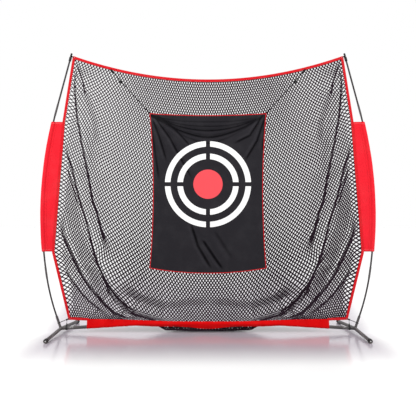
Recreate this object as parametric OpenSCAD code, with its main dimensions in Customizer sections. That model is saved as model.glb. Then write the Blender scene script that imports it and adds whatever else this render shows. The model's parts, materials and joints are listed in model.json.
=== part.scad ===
// Free-standing chipping net: two steel feet and a crossbar carry two bowed
// fibreglass poles, and a slack net bag hangs between them behind a cloth target.
// Millimetres, +Z up, the front faces -Y, the origin is on the floor at the centre.

/* [Feet] */
// Distance from the middle of the net to each corner joint
joint_x = 1123.5; // [1080:0.5:1160]
// Height of the corner joints above the floor
joint_z = 30; // [26:1:45]
// Reach of each foot in front of and behind the crossbar
foot_reach = 470; // [350:5:600]
// Outer diameter of the steel tubes
tube_d = 25; // [22:1:32]
// Wall of the steel tubes
tube_wall = 1.2; // [1:0.1:2]
// Outward splay of the front leg, in degrees
front_splay = 2; // [0:0.5:6]
// Inward splay of the rear leg, in degrees
rear_splay = 6; // [0:0.5:9]
// Length of a rubber foot cap
cap_len = 32; // [24:1:45]
// Rubber outside the tube in a foot cap
cap_wall = 2.8; // [2:0.1:4]
// Clearance between parts that slip into each other
slip = 0.1; // [0.05:0.01:0.2]

/* [Crossbar] */
// Distance from the middle to the joints of the centre tube
center_half = 535; // [400:5:650]
// Height of the centre tube's axis
center_z = 66.5; // [50:0.5:90]
// Distance from the middle to the outer ends of the side tubes
side_tube_end = 1035; // [980:1:1060]
// Length of a stub or joiner that slips into the next tube
spigot_len = 62; // [45:1:90]
// Radius of a snap button
button_r = 3.9; // [3:0.1:5]
// How far a snap button stands out of the tube
button_proud = 2.6; // [1.5:0.1:4]
// Thickness of the snap spring's strip
spring_strip = 0.8; // [0.5:0.1:1.2]

/* [Poles] */
// Lean of the sockets from upright, in degrees
pole_lean = 19; // [14:0.5:24]
// Lean of the poles at the top of their lowest section, in degrees
knee_lean = 8; // [5:0.5:11]
// Outer diameter of a fibreglass pole
pole_d = 13; // [9:0.5:14]
// Bore of a fibreglass pole
pole_bore = 7; // [5:0.5:9]
// Diameter of the elastic cord inside a pole
shock_d = 3; // [2:0.5:4]
// Length of the sockets, measured from the foot tube's axis
socket_len = 100; // [70:1:130]
// Outer diameter of the sockets
socket_d = 19; // [17:0.5:24]
// Distance of the bore's floor from the foot tube's axis
socket_floor = 22; // [18:1:30]
// Radius of the bow in the three middle sections
bow_radius = 3100; // [2600:10:4000]
// Length of a pole section
section_len = 417.8; // [400:0.2:430]
// Outer diameter of the ferrules
ferrule_d = 15.5; // [14:0.5:18]
// Length of a ferrule
ferrule_len = 90; // [60:2:120]
// Diameter of the tip caps
tip_d = 20; // [16:0.5:24]
// Length of pole that a tip cap covers
tip_grip = 30; // [20:1:40]

/* [Net] */
// How far inside the poles' ends the net's top corners hang
corner_in = 25; // [20:1:35]
// How far under the poles' ends the net's top corners hang
corner_drop = 1.2; // [0:0.2:8]
// Sag of the top edge in the middle
top_sag = 177; // [80:1:220]
// Distance from the middle to the net's bottom corners
bottom_x = 1057.6; // [1020:0.2:1070]
// Height of the net's bottom corners
bottom_z = 106; // [98:1:125]
// Depth of the net bag
bag_depth = 388; // [250:1:420]
// Gaps across the net, counted in half meshes
mesh_across = 20; // [12:2:20]
// Gaps down the net, counted in half meshes
mesh_down = 22; // [12:2:22]
// Width of a net cord
strand_w = 6; // [4:0.5:10]
// Thickness of a net cord
strand_t = 3; // [2:0.5:4]
// Depth of the net's main folds
fold_depth = 26; // [0:1:40]
// Width of the webbing that binds the net
binding_w = 20; // [12:1:24]
// Thickness of the folded webbing
binding_t = 3.2; // [2:0.2:5]
// Diameter of the elastic loops at the corners
loop_d = 3.5; // [2.5:0.5:5]

/* [Side flaps and band] */
// Height of the side flaps' lower corners at the net
flap_low_z = 618; // [500:1:750]
// Height of the side flaps' upper corners at the net
flap_high_z = 1607; // [1400:1:1700]
// Distance from the middle to the flaps' lower inner corners
flap_low_x = 1183; // [1130:1:1195]
// Distance from the middle to the flaps' upper inner corners
flap_high_x = 1102; // [1060:1:1125]
// Thickness of the flap cloth
cloth_t = 1.2; // [0.8:0.1:2]
// Distance from the outer end of a side tube to the end of the bottom band
band_gap = 111; // [75:1:220]
// Droop of the bottom band under the bar
band_droop = 26; // [6:1:32]

/* [Target] */
// Width of the target cloth at its corners
target_w = 894; // [600:2:960]
// Height of the target cloth at its corners
target_h = 1185; // [800:5:1250]
// Distance from the net's top corners down to the target's
target_drop = 425; // [380:1:520]
// How far the long sides draw in at mid height
target_waist = 26; // [0:1:40]
// Sag of the target's top edge
target_top_sag = 15; // [0:1:30]
// Belly of the target's bottom edge
target_low_sag = 40; // [0:1:60]
// Depth of the target's folds
target_fold = 7; // [0:0.5:10]
// Distance from the middle to the straps that carry the target
strap_x = 754; // [650:1:860]
// Length of a strap from the webbing to its ring
strap_len = 30; // [20:1:45]
// Diameter of the target's elastic cords
cord_d = 5; // [3:0.5:6]
// Half the spacing of the two runs of a target cord
cord_gap = 6; // [5.5:0.1:7]
// Distance from a strap's ring to the cord lock
lock_drop = 76; // [55:1:120]
// Travel of a cord lock's plunger
lock_travel = 4; // [2:0.5:5]

/* [Hidden] */

$fn = 32;
touch = 0.3;
// Where two lengths of a bent rod join, the next one starts this far inside
lap = 1;
// and is this much wider or narrower, so that their skins never coincide
skim = 0.05;
bow_skim = 0.15;
tube_skim = 0.25;
steel = "#3d393b";
fiberglass = "#5a5456";
black = "#17171a";
mesh_black = "#232226";
red = "#d8212f";
zinc = "#b9bcc0";

tube_r = tube_d / 2;
bore_r = tube_r - tube_wall;
stub_r = bore_r - slip;
stub_bore_r = stub_r - tube_wall;
pole_r = pole_d / 2;
socket_r = socket_d / 2;
ferrule_r = ferrule_d / 2;
tip_r = tip_d / 2;
loop_r = loop_d / 2;
cord_r = cord_d / 2;

// ---- geometry in the X-Z plane ----------------------------------------------

function along(a) = [sin(a), cos(a)];
function lerp(a, b, t) = a + (b - a) * t;
function v3(p, y = 0) = [p[0], y, p[1]];
function clamp01(t) = max(0, min(1, t));
function ease(t) = let(c = clamp01(t)) c * c * (3 - 2 * c);

module on_side(side) {
    mirror([side < 0 ? 1 : 0, 0, 0]) children();
}

// Turns +Z to the direction from p to q, both points of the X-Z plane.
module toward(p, q) {
    d = q - p;
    translate(v3(p)) rotate([0, atan2(d[0], d[1]), 0]) children();
}

// A closed line's point i moved sideways by w, to the left of the way it runs.
function edge_dir(line, i) =
    let(n = len(line), d = line[(i + 1) % n] - line[i % n]) d / norm(d);
function left_of(d) = [-d[1], d[0]];
function mitred(line, i, w) =
    let(
        n = len(line),
        a = left_of(edge_dir(line, i + n - 1)),
        b = left_of(edge_dir(line, i)),
        m = (a + b) / norm(a + b)
    )
    line[i % n] + m * w / (m * a);

// The part of a strip of width w between points i and j of a closed line.
module strip(line, i, j, w) {
    polygon(concat(
        [for (k = [i:1:j]) mitred(line, k, w / 2)],
        [for (k = [j:-1:i]) mitred(line, k, -w / 2)]
    ));
}

// Puts a drawing in x and z upright, with its thickness centred on y = 0.
module upright(t) {
    rotate([90, 0, 0]) linear_extrude(t, center = true) children();
}

// An endless cord of radius r around two centres p and q, in the plane of the
// line between them and the Y axis. Its runs are R and S from that line.
module belt(p, q, R, S, r) {
    d = norm(q - p);
    lean = asin((R - S) / d);
    run = d * cos(lean);
    poke = 0.12;
    toward(p, q) rotate([0, 0, 90]) {
        for (m = [-1, 1]) {
            translate([m * R * cos(lean), 0, R * sin(lean)]) rotate([0, -m * lean, 0])
                translate([0, 0, -poke]) cylinder(h = run + 2 * poke, r = r - skim, $fn = 24);
        }
        bend(R, r, 180 + 2 * lean);
        translate([0, 0, d]) mirror([0, 0, 1]) bend(S, r, 180 - 2 * lean);
    }
}

// The bend of a belt: a piece of torus in the X-Z plane, opening towards +Z.
module bend(R, r, sweep) {
    rotate([90, 0, 0]) rotate([0, 0, 270 - sweep / 2])
        rotate_extrude(angle = sweep, $fn = 96) translate([R, 0]) circle(r, $fn = 24);
}

// ---- the bowed line of a pole, on the right-hand side -------------------------

sections = 5;
function section_end(k) = socket_floor + k * section_len;
low_turn = pole_lean - knee_lean;
low_radius = (section_end(1) - socket_len) / low_turn * 180 / PI;
bow_turn = 3 * section_len / bow_radius * 180 / PI;
tip_lean = knee_lean - bow_turn;
runs = [
    [0, 0, socket_len],
    [low_radius, low_turn, 0],
    [bow_radius, bow_turn, 0],
    [0, 0, section_len]
];
function run_len(k) = runs[k][0] == 0 ? runs[k][2] : runs[k][0] * runs[k][1] * PI / 180;
function run_start(k) = k == 0 ? 0 : run_start(k - 1) + run_len(k - 1);
function run_lean(k) = k == 0 ? pole_lean : run_lean(k - 1) - runs[k - 1][1];
// How far a run gets from its start in a length s.
function run_step(k, s) =
    let(R = runs[k][0], a = run_lean(k))
    R == 0 ? s * along(a) :
    let(b = a - s / R * 180 / PI) R * [cos(b) - cos(a), sin(a) - sin(b)];
function run_point(k) =
    k == 0 ? [joint_x, joint_z] : run_point(k - 1) + run_step(k - 1, run_len(k - 1));
function run_at(s) = max([for (k = [0:len(runs) - 1]) if (k == 0 || run_start(k) <= s) k]);
function pole_point(s) = let(k = run_at(s)) run_point(k) + run_step(k, s - run_start(k));

pole_end = section_end(sections);
top_x = pole_point(pole_end)[0] - corner_in;
top_z = pole_point(pole_end)[1] - corner_drop;
band_half = side_tube_end - band_gap;
target_top = top_z - target_drop;

// The length along the pole at which it reaches the height z.
function pole_reach(z, low = 0, high = pole_end, n = 24) =
    n == 0 ? (low + high) / 2 :
    let(m = (low + high) / 2)
    pole_point(m)[1] < z ? pole_reach(z, m, high, n - 1) : pole_reach(z, low, m, n - 1);

module ring_2d(r, hole) {
    difference() {
        circle(r, $fn = 24);
        if (hole > 0) circle(hole, $fn = 24);
    }
}

// A rod or tube of radius r along the pole's line from length s to length e.
module bowed(s, e, r, hole = 0) {
    for (k = [0:len(runs) - 1]) {
        a = max(s, run_start(k));
        b = min(e, run_start(k) + run_len(k));
        first = s >= run_start(k);
        thin = (k - run_at(s)) % 2 * bow_skim;
        if (b > a + 2 * lap) {
            p = pole_point(a);
            R = runs[k][0];
            lean = run_lean(k) - (R == 0 ? 0 : (a - run_start(k)) / R * 180 / PI);
            back = first ? 0 : lap;
            if (R == 0) {
                translate(v3(p)) rotate([0, lean, 0]) translate([0, 0, -back])
                    linear_extrude(b - a + back) ring_2d(r - thin, hole > 0 ? hole + thin : 0);
            } else {
                center = p - R * [cos(lean), -sin(lean)];
                turn = 180 / PI / R;
                translate(v3(center)) rotate([90, 0, 0]) rotate([0, 0, -lean - back * turn])
                    rotate_extrude(angle = (b - a + back) * turn, $fn = 720)
                        translate([R, 0]) ring_2d(r - thin, hole > 0 ? hole + thin : 0);
            }
        }
    }
}

// ---- feet and crossbar ---------------------------------------------------------

joint = [joint_x, joint_z];
cap_r = tube_r + slip + cap_wall;
cap_rest = cap_r - 0.5;
leg_len = foot_reach - 4;
leg_drop = asin((joint_z - cap_rest) / foot_reach);
bar_slope = atan2(center_z - joint_z, joint_x - center_half);
bar_corner = [center_half, center_z];
function bar_z(x) = abs(x) < center_half ? center_z :
    center_z - (abs(x) - center_half) * tan(bar_slope);

// Stands a thing along a leg, from the corner joint outwards.
module along_leg(front) {
    translate(v3(joint)) rotate([0, 0, front ? front_splay : 180 + rear_splay])
        rotate([90 + leg_drop, 0, 0]) children();
}

// The foot is one tube bent at the joint, in the plane that holds both its legs.
leg_bend = 600;
front_dir = [sin(front_splay) * cos(leg_drop), -cos(front_splay) * cos(leg_drop), -sin(leg_drop)];
rear_dir = [-sin(rear_splay) * cos(leg_drop), cos(rear_splay) * cos(leg_drop), -sin(leg_drop)];
leg_turn = 180 - acos(front_dir * rear_dir);
leg_x = (front_dir - rear_dir) / norm(front_dir - rear_dir);
leg_y = -(front_dir + rear_dir) / norm(front_dir + rear_dir);
leg_z = cross(leg_x, leg_y);
leg_tangent = leg_bend * tan(leg_turn / 2);
bend_r = tube_r + tube_skim;
module in_leg_plane() {
    multmatrix([
        [leg_x[0], leg_y[0], leg_z[0], joint_x],
        [leg_x[1], leg_y[1], leg_z[1], 0],
        [leg_x[2], leg_y[2], leg_z[2], joint_z]
    ]) children();
}
module foot_bend(r, hole = 0) {
    in_leg_plane() translate([0, -leg_bend / cos(leg_turn / 2), 0])
        rotate([0, 0, 90 - leg_turn / 2]) rotate_extrude(angle = leg_turn, $fn = 720)
            translate([leg_bend, 0]) circle_ring(r, hole);
}
module circle_ring(r, hole) {
    difference() {
        circle(r, $fn = 48);
        if (hole > 0) circle(hole, $fn = 48);
    }
}

module foot_tube(side) {
    color(steel) on_side(side) {
        foot_bend(bend_r, bend_r - tube_wall);
        in_leg_plane() for (m = [0, 1]) mirror([m, 0, 0]) rotate([0, 0, -leg_turn / 2])
            translate([leg_tangent - lap, 0, 0]) rotate([0, 90, 0])
                linear_extrude(leg_len - leg_tangent + lap)
                    circle_ring(tube_r, bore_r);
    }
}

// A ribbed rubber cap over a leg's end, cut flat where it stands on the floor.
module foot_cap(side, front) {
    rib = 0.6;
    color(black) on_side(side) difference() {
        along_leg(front) difference() {
            union() {
                translate([0, 0, leg_len + 4 - cap_len]) cylinder(h = cap_len - 2, r = cap_r);
                translate([0, 0, leg_len + 2]) cylinder(h = 2, r1 = cap_r, r2 = cap_r - 2);
                for (k = [0:2]) {
                    translate([0, 0, leg_len + 6 - cap_len + k * 7])
                        cylinder(h = 3, r = cap_r + rib);
                }
            }
            translate([0, 0, leg_len - cap_len]) cylinder(h = cap_len, r = tube_r + slip);
            translate([0, 0, leg_len + 3]) cylinder(h = 2, r = 5);
        }
        translate([0, 0, -cap_r]) cube([4 * joint_x, 4 * foot_reach, 2 * cap_r], center = true);
    }
}

// The welded joint: a stub for the crossbar and a leaning socket for the pole.
module corner_joint(side) {
    stub_end = joint_x - side_tube_end + spigot_len;
    color(steel) on_side(side) difference() {
        union() {
            toward(joint, bar_corner) cylinder(h = stub_end, r = stub_r);
            translate(v3(joint)) rotate([0, pole_lean, 0]) cylinder(h = socket_len, r = socket_r);
        }
        toward(joint, bar_corner) translate([0, 0, tube_r + 6])
            cylinder(h = stub_end, r = stub_bore_r);
        translate(v3(joint)) rotate([0, pole_lean, 0]) translate([0, 0, socket_floor])
            cylinder(h = socket_len, r = pole_r + slip);
        foot_bend(bend_r);
        button_hole();
    }
}

// The snap buttons stand out of the back of the crossbar, near its outer ends.
button_x = side_tube_end - 18;
button_hole_r = button_r + slip;
button_len = 8;
module at_button() {
    translate([button_x, 0, bar_z(button_x)]) rotate([-90, 0, 0]) children();
}
module button_hole() {
    at_button() cylinder(h = tube_r + 2, r = button_hole_r);
}

// The side tubes end square, just clear of the centre tube's square end.
module side_tube(side) {
    outer = [side_tube_end, bar_z(side_tube_end)];
    length = norm(outer - bar_corner) - tube_r * tan(bar_slope);
    color(steel) on_side(side) difference() {
        toward(outer, bar_corner) linear_extrude(length) circle_ring(tube_r, bore_r);
        button_hole();
    }
}

// A joiner is a short bent tube inside both tubes where they meet.
joiner_bend = 300;
module crossbar_joiners() {
    tangent = joiner_bend * tan(bar_slope / 2);
    for (side = [-1, 1]) color(steel) on_side(side) {
        translate([center_half, 0, center_z]) {
            translate([-tangent, 0, -joiner_bend]) rotate([90, 0, 0])
                rotate([0, 0, 90 - bar_slope]) rotate_extrude(angle = bar_slope, $fn = 720)
                    translate([joiner_bend, 0]) circle_ring(stub_r, stub_bore_r);
            rotate([0, -90, 0]) translate([0, 0, tangent - lap])
                linear_extrude(spigot_len - tangent + lap)
                    circle_ring(stub_r - tube_skim, stub_bore_r - tube_skim);
            rotate([0, 90 + bar_slope, 0]) translate([0, 0, tangent - lap])
                linear_extrude(spigot_len - tangent + lap)
                    circle_ring(stub_r - tube_skim, stub_bore_r - tube_skim);
        }
    }
}

module center_tube() {
    length = 2 * center_half;
    color(steel) translate([-center_half, 0, center_z]) rotate([0, 90, 0])
        linear_extrude(length) circle_ring(tube_r, bore_r);
}

module snap_button(side) {
    top = tube_r + button_proud;
    color(zinc) on_side(side) at_button() {
        translate([0, 0, top - button_len]) cylinder(h = button_len - 1.6, r = button_r);
        intersection() {
            translate([0, 0, top - 5.6]) sphere(5.6);
            translate([0, 0, top - 1.6]) cylinder(h = 2, r = button_r);
        }
    }
}

// A strip folded in a V: one arm under the button, the other on the far wall.
module snap_spring(side) {
    arm = 34;
    top = tube_r + button_proud - button_len;
    low = -sqrt(pow(stub_bore_r, 2) - 9) + touch;
    t = spring_strip;
    color(zinc) on_side(side) translate([button_x, 0, bar_z(button_x)])
        rotate([0, bar_slope, 0]) linear_extrude(6, center = true) polygon([
            [5, top], [-5, top], [-arm, (top + low) / 2 + t], [-arm - 2, (top + low) / 2],
            [-arm, (top + low) / 2 - t], [-5, low], [5, low], [5, low + t],
            [-4.5, low + t], [-arm + 3, (top + low) / 2], [-4.5, top - t], [5, top - t]
        ]);
}

// ---- poles ----------------------------------------------------------------------

// The lowest section's foot is ground down to seat in the socket.
module pole_section(side, k) {
    seat = 0.2;
    color(fiberglass) on_side(side) {
        bowed(max(socket_len, section_end(k - 1)), section_end(k), pole_r, pole_bore / 2);
        if (k == 1) {
            bowed(socket_floor, socket_len, pole_r - seat, pole_bore / 2 + seat);
            translate(v3(pole_point(socket_len))) rotate([0, pole_lean, 0])
                translate([0, 0, -lap]) linear_extrude(2 * lap)
                    ring_2d(pole_r - seat, pole_bore / 2 + seat);
        }
    }
}

module pole_ferrules(side) {
    color(steel) on_side(side) for (k = [1:sections - 1]) {
        mid = section_end(k);
        bowed(mid - ferrule_len / 2, mid + ferrule_len / 2, ferrule_r, pole_r + slip);
    }
}

// An elastic cord runs through each whole pole and is knotted at both ends.
module shock_cords() {
    knot = pole_bore / 2 - touch;
    for (side = [-1, 1]) color(black) on_side(side) union() {
        bowed(socket_floor + knot, pole_end - knot, shock_d / 2);
        translate(v3(pole_point(socket_floor + knot))) sphere(knot);
        translate(v3(pole_point(pole_end - knot))) sphere(knot);
    }
}

neck_r = 4;
neck_len = 15;
knob_r = 8;
neck_wrap = neck_r + loop_r + 0.6;
module at_tip() {
    translate(v3(pole_point(pole_end))) rotate([0, tip_lean, 0]) children();
}
module tip_cap(side) {
    color(black) on_side(side) at_tip() difference() {
        union() {
            translate([0, 0, -tip_grip]) cylinder(h = tip_grip + 2, r = tip_r);
            translate([0, 0, 2]) cylinder(h = 2, r1 = tip_r, r2 = neck_r + 1);
            cylinder(h = neck_len + 6, r = neck_r);
            translate([0, 0, neck_len + 4 + knob_r - 2]) sphere(knob_r);
        }
        translate([0, 0, -tip_grip - 1]) cylinder(h = tip_grip + 1, r = pole_r + slip);
    }
}

// ---- the net's edge and its webbing -----------------------------------------------

top_steps = 24;
top_corner = [top_x, top_z];
bottom_corner = [bottom_x, bottom_z];
band_end = [band_half, bottom_z - 6];
flap_high = [flap_high_x, flap_high_z];
flap_low = [flap_low_x, flap_low_z];
function flip(p) = [-p[0], p[1]];
function top_edge_z(x) = top_z - top_sag * (1 - pow(x / top_x, 2));
edge_line = concat(
    [for (k = [0:top_steps]) let(x = top_x * (2 * k / top_steps - 1)) [x, top_edge_z(x)]],
    [flap_high, flap_low, bottom_corner, band_end],
    [flip(band_end), flip(bottom_corner), flip(flap_low), flip(flap_high)]
);
grommet_hole = 4.2;
// Half the spacing of an elastic loop's runs where it goes through a grommet
elastic_hole = loop_r + 3;
corners = [top_corner, flip(top_corner), bottom_corner, flip(bottom_corner)];

module binding(i, j) {
    color(red) difference() {
        upright(binding_t) strip(edge_line, i, j, binding_w);
        for (p = corners) {
            translate(v3(p)) rotate([90, 0, 0])
                cylinder(h = 2 * binding_t, r = grommet_hole + slip, center = true);
        }
    }
}

module grommet(p) {
    flange = 6.6;
    t = 0.8;
    translate(v3(p)) rotate([90, 0, 0]) rotate_extrude() translate([grommet_hole - 1, 0]) {
        translate([0, -binding_t / 2 - t]) square([1, binding_t + 2 * t]);
        for (y = [-binding_t / 2 - t, binding_t / 2]) {
            translate([0, y]) square([flange - grommet_hole + 1, t]);
        }
    }
}

module net_grommets() {
    color(zinc) for (p = corners) grommet(p);
}

// An elastic loop from the tip cap's neck through the grommet at the top corner.
module top_loop(side) {
    neck = pole_point(pole_end) + (4 + neck_len / 2) * along(tip_lean);
    color(black) on_side(side)
        belt(neck, end_center(neck, top_corner, elastic_hole), neck_wrap, elastic_hole, loop_r);
}
// The centre of a belt's far bend, when the bend itself goes through the point q.
function end_center(p, q, S) = q - (q - p) / norm(q - p) * S;

// ---- the net ----------------------------------------------------------------------

// The bag's outline in the middle, from the top edge to the crossbar, as y and z.
net_inset = binding_w / 2 + 6 * touch;
top_inset = binding_w / 2 + 3.5;
bag_top = top_z - top_sag - top_inset;
hem_y = tube_r + 5;
hem_z = center_z + 4;
outline = [
    [0, 1], [0.27, 0.858], [0.49, 0.711], [0.68, 0.565], [0.83, 0.418], [0.94, 0.275],
    [1, 0.152], [0.91, 0.047], [0.66, 0.004], [0.39, 0.002], [0.18, 0.002],
    [hem_y / bag_depth, hem_z / bag_top]
];
function spline(p, k, t) =
    let(
        n = len(p) - 1,
        a = p[max(0, k - 1)], b = p[k], c = p[min(n, k + 1)], d = p[min(n, k + 2)]
    )
    0.5 * ((2 * b) + (c - a) * t + (2 * a - 5 * b + 4 * c - d) * t * t
        + (3 * b - a - 3 * c + d) * t * t * t);
profile = [
    for (k = [0:len(outline) - 2]) for (t = [0:0.125:0.99])
        let(p = spline(outline, k, t)) [p[0] * bag_depth, max(p[1] * bag_top, strand_t + 1)],
    [hem_y, hem_z]
];
profile_run = [
    for (k = 0, s = 0; k < len(profile); k = k + 1,
        s = s + (k < len(profile) ? norm(profile[k] - profile[k - 1]) : 0)) s
];
profile_len = profile_run[len(profile) - 1];
profile_y = [for (k = [0:len(profile) - 1]) [profile_run[k] / profile_len, profile[k][0]]];
profile_z = [for (k = [0:len(profile) - 1]) [profile_run[k] / profile_len, profile[k][1]]];

side_line = [
    [bottom_z, bottom_x], [flap_low_z, flap_low_x], [flap_high_z, flap_high_x], [top_z, top_x]
];
function edge_low_z(x) =
    lerp(hem_z, bottom_z + net_inset, ease((abs(x) - center_half) / (band_half - center_half)));

// Main folds: each starts at a side edge at v and runs inwards as it drops.
folds = [[0.10, 0.50, 0.7], [0.30, 0.62, 1], [0.60, 0.57, 1], [0.78, 0.62, 0.6]];
function fold_at(u, v) = let(w = 1 - abs(u))
    fold_depth * ease(w * 5) * ease((1 - v) * 5) * ([for (f = folds)
        f[2] * ease((v - f[0]) * 6) * exp(-pow((w - 0.06 - f[1] * (v - f[0])) / 0.055, 2))
    ] * [1, 1, 1, 1]);

// The net's middle surface, for u from -1 to 1 across and v from 0 to 1 down.
function bag(u, v) =
    let(
        side_z = lerp(top_z - top_inset, bottom_z + net_inset, v),
        x = u * (lookup(side_z, side_line) - net_inset),
        top = top_edge_z(u * (top_x - net_inset)) - top_inset,
        low = edge_low_z(u * bottom_x),
        drop = lookup(v, profile_z) - lerp(bag_top, hem_z, v),
        back = (1 - pow(abs(u), 2.6)),
        low_y = hem_y * ease((1 - abs(u)) * 6)
    )
    [
        x,
        lookup(v, profile_y) * back + low_y * v * (1 - back) + fold_at(u, v),
        max(strand_t / 2 + 1, lerp(top, low, v) + drop * (1 - pow(abs(u), 2.2)))
    ];
function bag_normal(u, v) =
    let(
        h = 0.004,
        a = bag(min(1, u + h), v) - bag(max(-1, u - h), v),
        b = bag(u, min(1, v + h)) - bag(u, max(0, v - h)),
        n = cross(b, a)
    )
    n / norm(n);

nx = mesh_across;
ny = mesh_down;
step_across = 2 * flap_high_x / nx;
step_down = profile_len / ny;
function knot_index(i, j) =
    floor(j / 2) * (nx + 1) + (j % 2) * (nx / 2 + 1) + floor(i / 2);
function knot_uv(i, j) = [2 * i / nx - 1, j / ny];
knots = [for (j = [0:ny]) for (i = [j % 2:2:nx]) [i, j]];
// A gap's knots, clockwise seen from the front, and fewer of them at the edges.
gaps = [for (j = [0:ny]) for (i = [(j + 1) % 2:2:nx]) [
    if (j > 0) [i, j - 1],
    if (i < nx) [i + 1, j],
    if (j < ny) [i, j + 1],
    if (i > 0) [i - 1, j]
]];
gap_start = [for (k = 0, s = 0; k < len(gaps); s = s + len(gaps[k]), k = k + 1) s];
function mean(list) = [for (l = list) 1] * list / len(list);
// The gap's own corners, half a cord's width inside the lines between its knots.
function gap_corners(gap) =
    let(uv = [for (g = gap) knot_uv(g[0], g[1])], c = mean(uv),
        half = len(gap) == 4 ? 0.72 * min(step_across, step_down) : 0.55 * step_across)
    [for (p = uv) lerp(p, c, strand_w / 2 / half)];

module net() {
    middle = concat([for (k = knots) knot_uv(k[0], k[1])], [for (g = gaps) each gap_corners(g)]);
    n = len(middle);
    m = len(knots);
    half = strand_t / 2;
    places = [for (p = middle) [bag(p[0], p[1]), bag_normal(p[0], p[1])]];
    points = concat([for (p = places) p[0] - half * p[1]], [for (p = places) p[0] + half * p[1]]);
    faces = [for (k = [0:len(gaps) - 1]) let(g = gaps[k], c = len(g)) for (t = [0:c - 1])
        let(
            p = g[t], q = g[(t + 1) % c],
            a = knot_index(p[0], p[1]), b = knot_index(q[0], q[1]),
            d = m + gap_start[k] + t, e = m + gap_start[k] + (t + 1) % c,
            open = p[0] == q[0] || p[1] == q[1]
        )
        each concat(
            [[a, b, e], [a, e, d]],
            [[a + n, e + n, b + n], [a + n, d + n, e + n]],
            [[d, e, e + n], [d, e + n, d + n]],
            open ? [[b, a, a + n], [b, a + n, b + n]] : []
        )
    ];
    color(mesh_black) polyhedron(points, faces);
}

// ---- side flaps and bottom band ---------------------------------------------------

sleeve_in = ferrule_r + touch + 0.1;
sleeve_out = sleeve_in + cloth_t;
flap_steps = 28;
flap_edge = binding_w / 2;

module side_flap(side) {
    low = pole_reach(flap_low_z);
    high = pole_reach(flap_high_z);
    inward = flap_edge / cos(atan2(flap_low_x - flap_high_x, flap_high_z - flap_low_z));
    color(red) on_side(side) difference() {
        union() {
            bowed(low, high, sleeve_out);
            upright(cloth_t) polygon(concat(
                [flap_low + [inward, 0]],
                [for (k = [0:flap_steps]) pole_point(lerp(low, high, k / flap_steps))],
                [flap_high + [inward, 0]]
            ));
        }
        bowed(low - 5, high + 5, sleeve_in);
    }
}

// The band's section is drawn round the bar, a top edge and a drooping hem.
band_sides = 14;
band_slack = 0.6;
side_stations = 4;
mid_stations = 10;
stations = concat(
    [for (k = [0:side_stations - 1]) -lerp(band_half, center_half, k / side_stations)],
    [for (k = [0:mid_stations]) lerp(-center_half, center_half, k / mid_stations)],
    [for (k = [1:side_stations]) lerp(center_half, band_half, k / side_stations)]
);
function band_top(x) =
    center_z + tube_r + 2.5 + 16 * clamp01((abs(x) - center_half + 35) / (band_half - center_half + 35));
function band_hem(x) =
    bar_z(x) - tube_r - 2 - band_droop * (0.3 * ease((1.12 * center_half - abs(x)) / (0.37 * center_half))
        + 0.7 * exp(-pow(4.1 * x / center_half, 2)));
function band_ring(x, out) = [for (k = [0:band_sides - 1])
    let(
        a = 360 * k / band_sides,
        n = [sin(a), cos(a)],
        rounds = [
            [0, bar_z(x), tube_r + touch + band_slack + out],
            [0, band_top(x) - 1.5 - cloth_t, 1.5 - cloth_t + out],
            [0, band_hem(x) + 1.5 + cloth_t, 1.5 - cloth_t + out]
        ],
        reach = [for (c = rounds) [c[0], c[1]] * n + c[2]],
        best = max(reach),
        c = rounds[search(best, reach)[0]]
    )
    [x, c[0] + c[2] * n[0], c[1] + c[2] * n[1]]];

module bottom_band() {
    w = band_sides;
    steps = len(stations) - 1;
    points = concat(
        [for (x = stations) each band_ring(x, cloth_t)],
        [for (x = stations) each band_ring(x, 0)]
    );
    n = w * len(stations);
    last = w * steps;
    skin = [for (s = [0:steps - 1]) for (k = [0:w - 1])
        let(a = s * w + k, b = s * w + (k + 1) % w)
        each [[a, a + w, b + w], [a, b + w, b], [a + n, b + w + n, a + w + n], [a + n, b + n, b + w + n]]];
    rims = [for (k = [0:w - 1]) let(b = (k + 1) % w) each [
        [k, b, b + n], [k, b + n, k + n],
        [last + k, last + b + n, last + b], [last + k, last + k + n, last + b + n]
    ]];
    color(red) polyhedron(points, concat(skin, rims));
}

module bottom_bindings() {
    binding(top_steps + 3, top_steps + 4);
    binding(top_steps + 5, top_steps + 6);
}

// ---- the bottom corners' fastenings -------------------------------------------------

elastic_s = 46;
elastic_p = joint + elastic_s * along(pole_lean);
elastic_wrap = socket_r + loop_r + touch;
elastic_q = end_center(elastic_p, bottom_corner, elastic_hole);
bead_mid = lerp(bottom_corner, elastic_p, 0.24);

module bottom_elastic(side) {
    color(black) on_side(side)
        belt(elastic_q, elastic_p, elastic_hole, elastic_wrap, loop_r);
}

bead_r = 5.5;
bead_w = 20;
module bottom_beads() {
    for (side = [-1, 1]) color(black) on_side(side) difference() {
        toward(bead_mid, elastic_p) intersection() {
            cube([2 * bead_r, bead_w, 13], center = true);
            rotate([90, 0, 0]) cylinder(h = bead_w, r = 8, center = true);
        }
        belt(elastic_q, elastic_p, elastic_hole, elastic_wrap, loop_r + slip);
        toward(bead_mid, hook_foot) cylinder(h = 20, r = hook_neck + slip);
    }
}

hook_x = joint_x - 44;
hook_foot = [hook_x, bar_z(hook_x)];
hook_neck = 1.6;
module stub_hook(side) {
    collar_r = stub_r + 3;
    reach = norm(bead_mid - hook_foot);
    color(black) on_side(side) difference() {
        union() {
            toward(hook_foot, bar_corner) translate([0, 0, -7]) cylinder(h = 14, r = collar_r);
            toward(hook_foot, bead_mid) {
                cylinder(h = 24, r = 5.5);
                translate([0, 0, 24]) cylinder(h = 16, r1 = 5.5, r2 = 2.6);
                cylinder(h = reach, r = hook_neck);
            }
        }
        toward(hook_foot, bar_corner) translate([0, 0, -30]) cylinder(h = 60, r = stub_r + slip);
    }
}

// ---- the target's straps, rings and cords ---------------------------------------------

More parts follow.
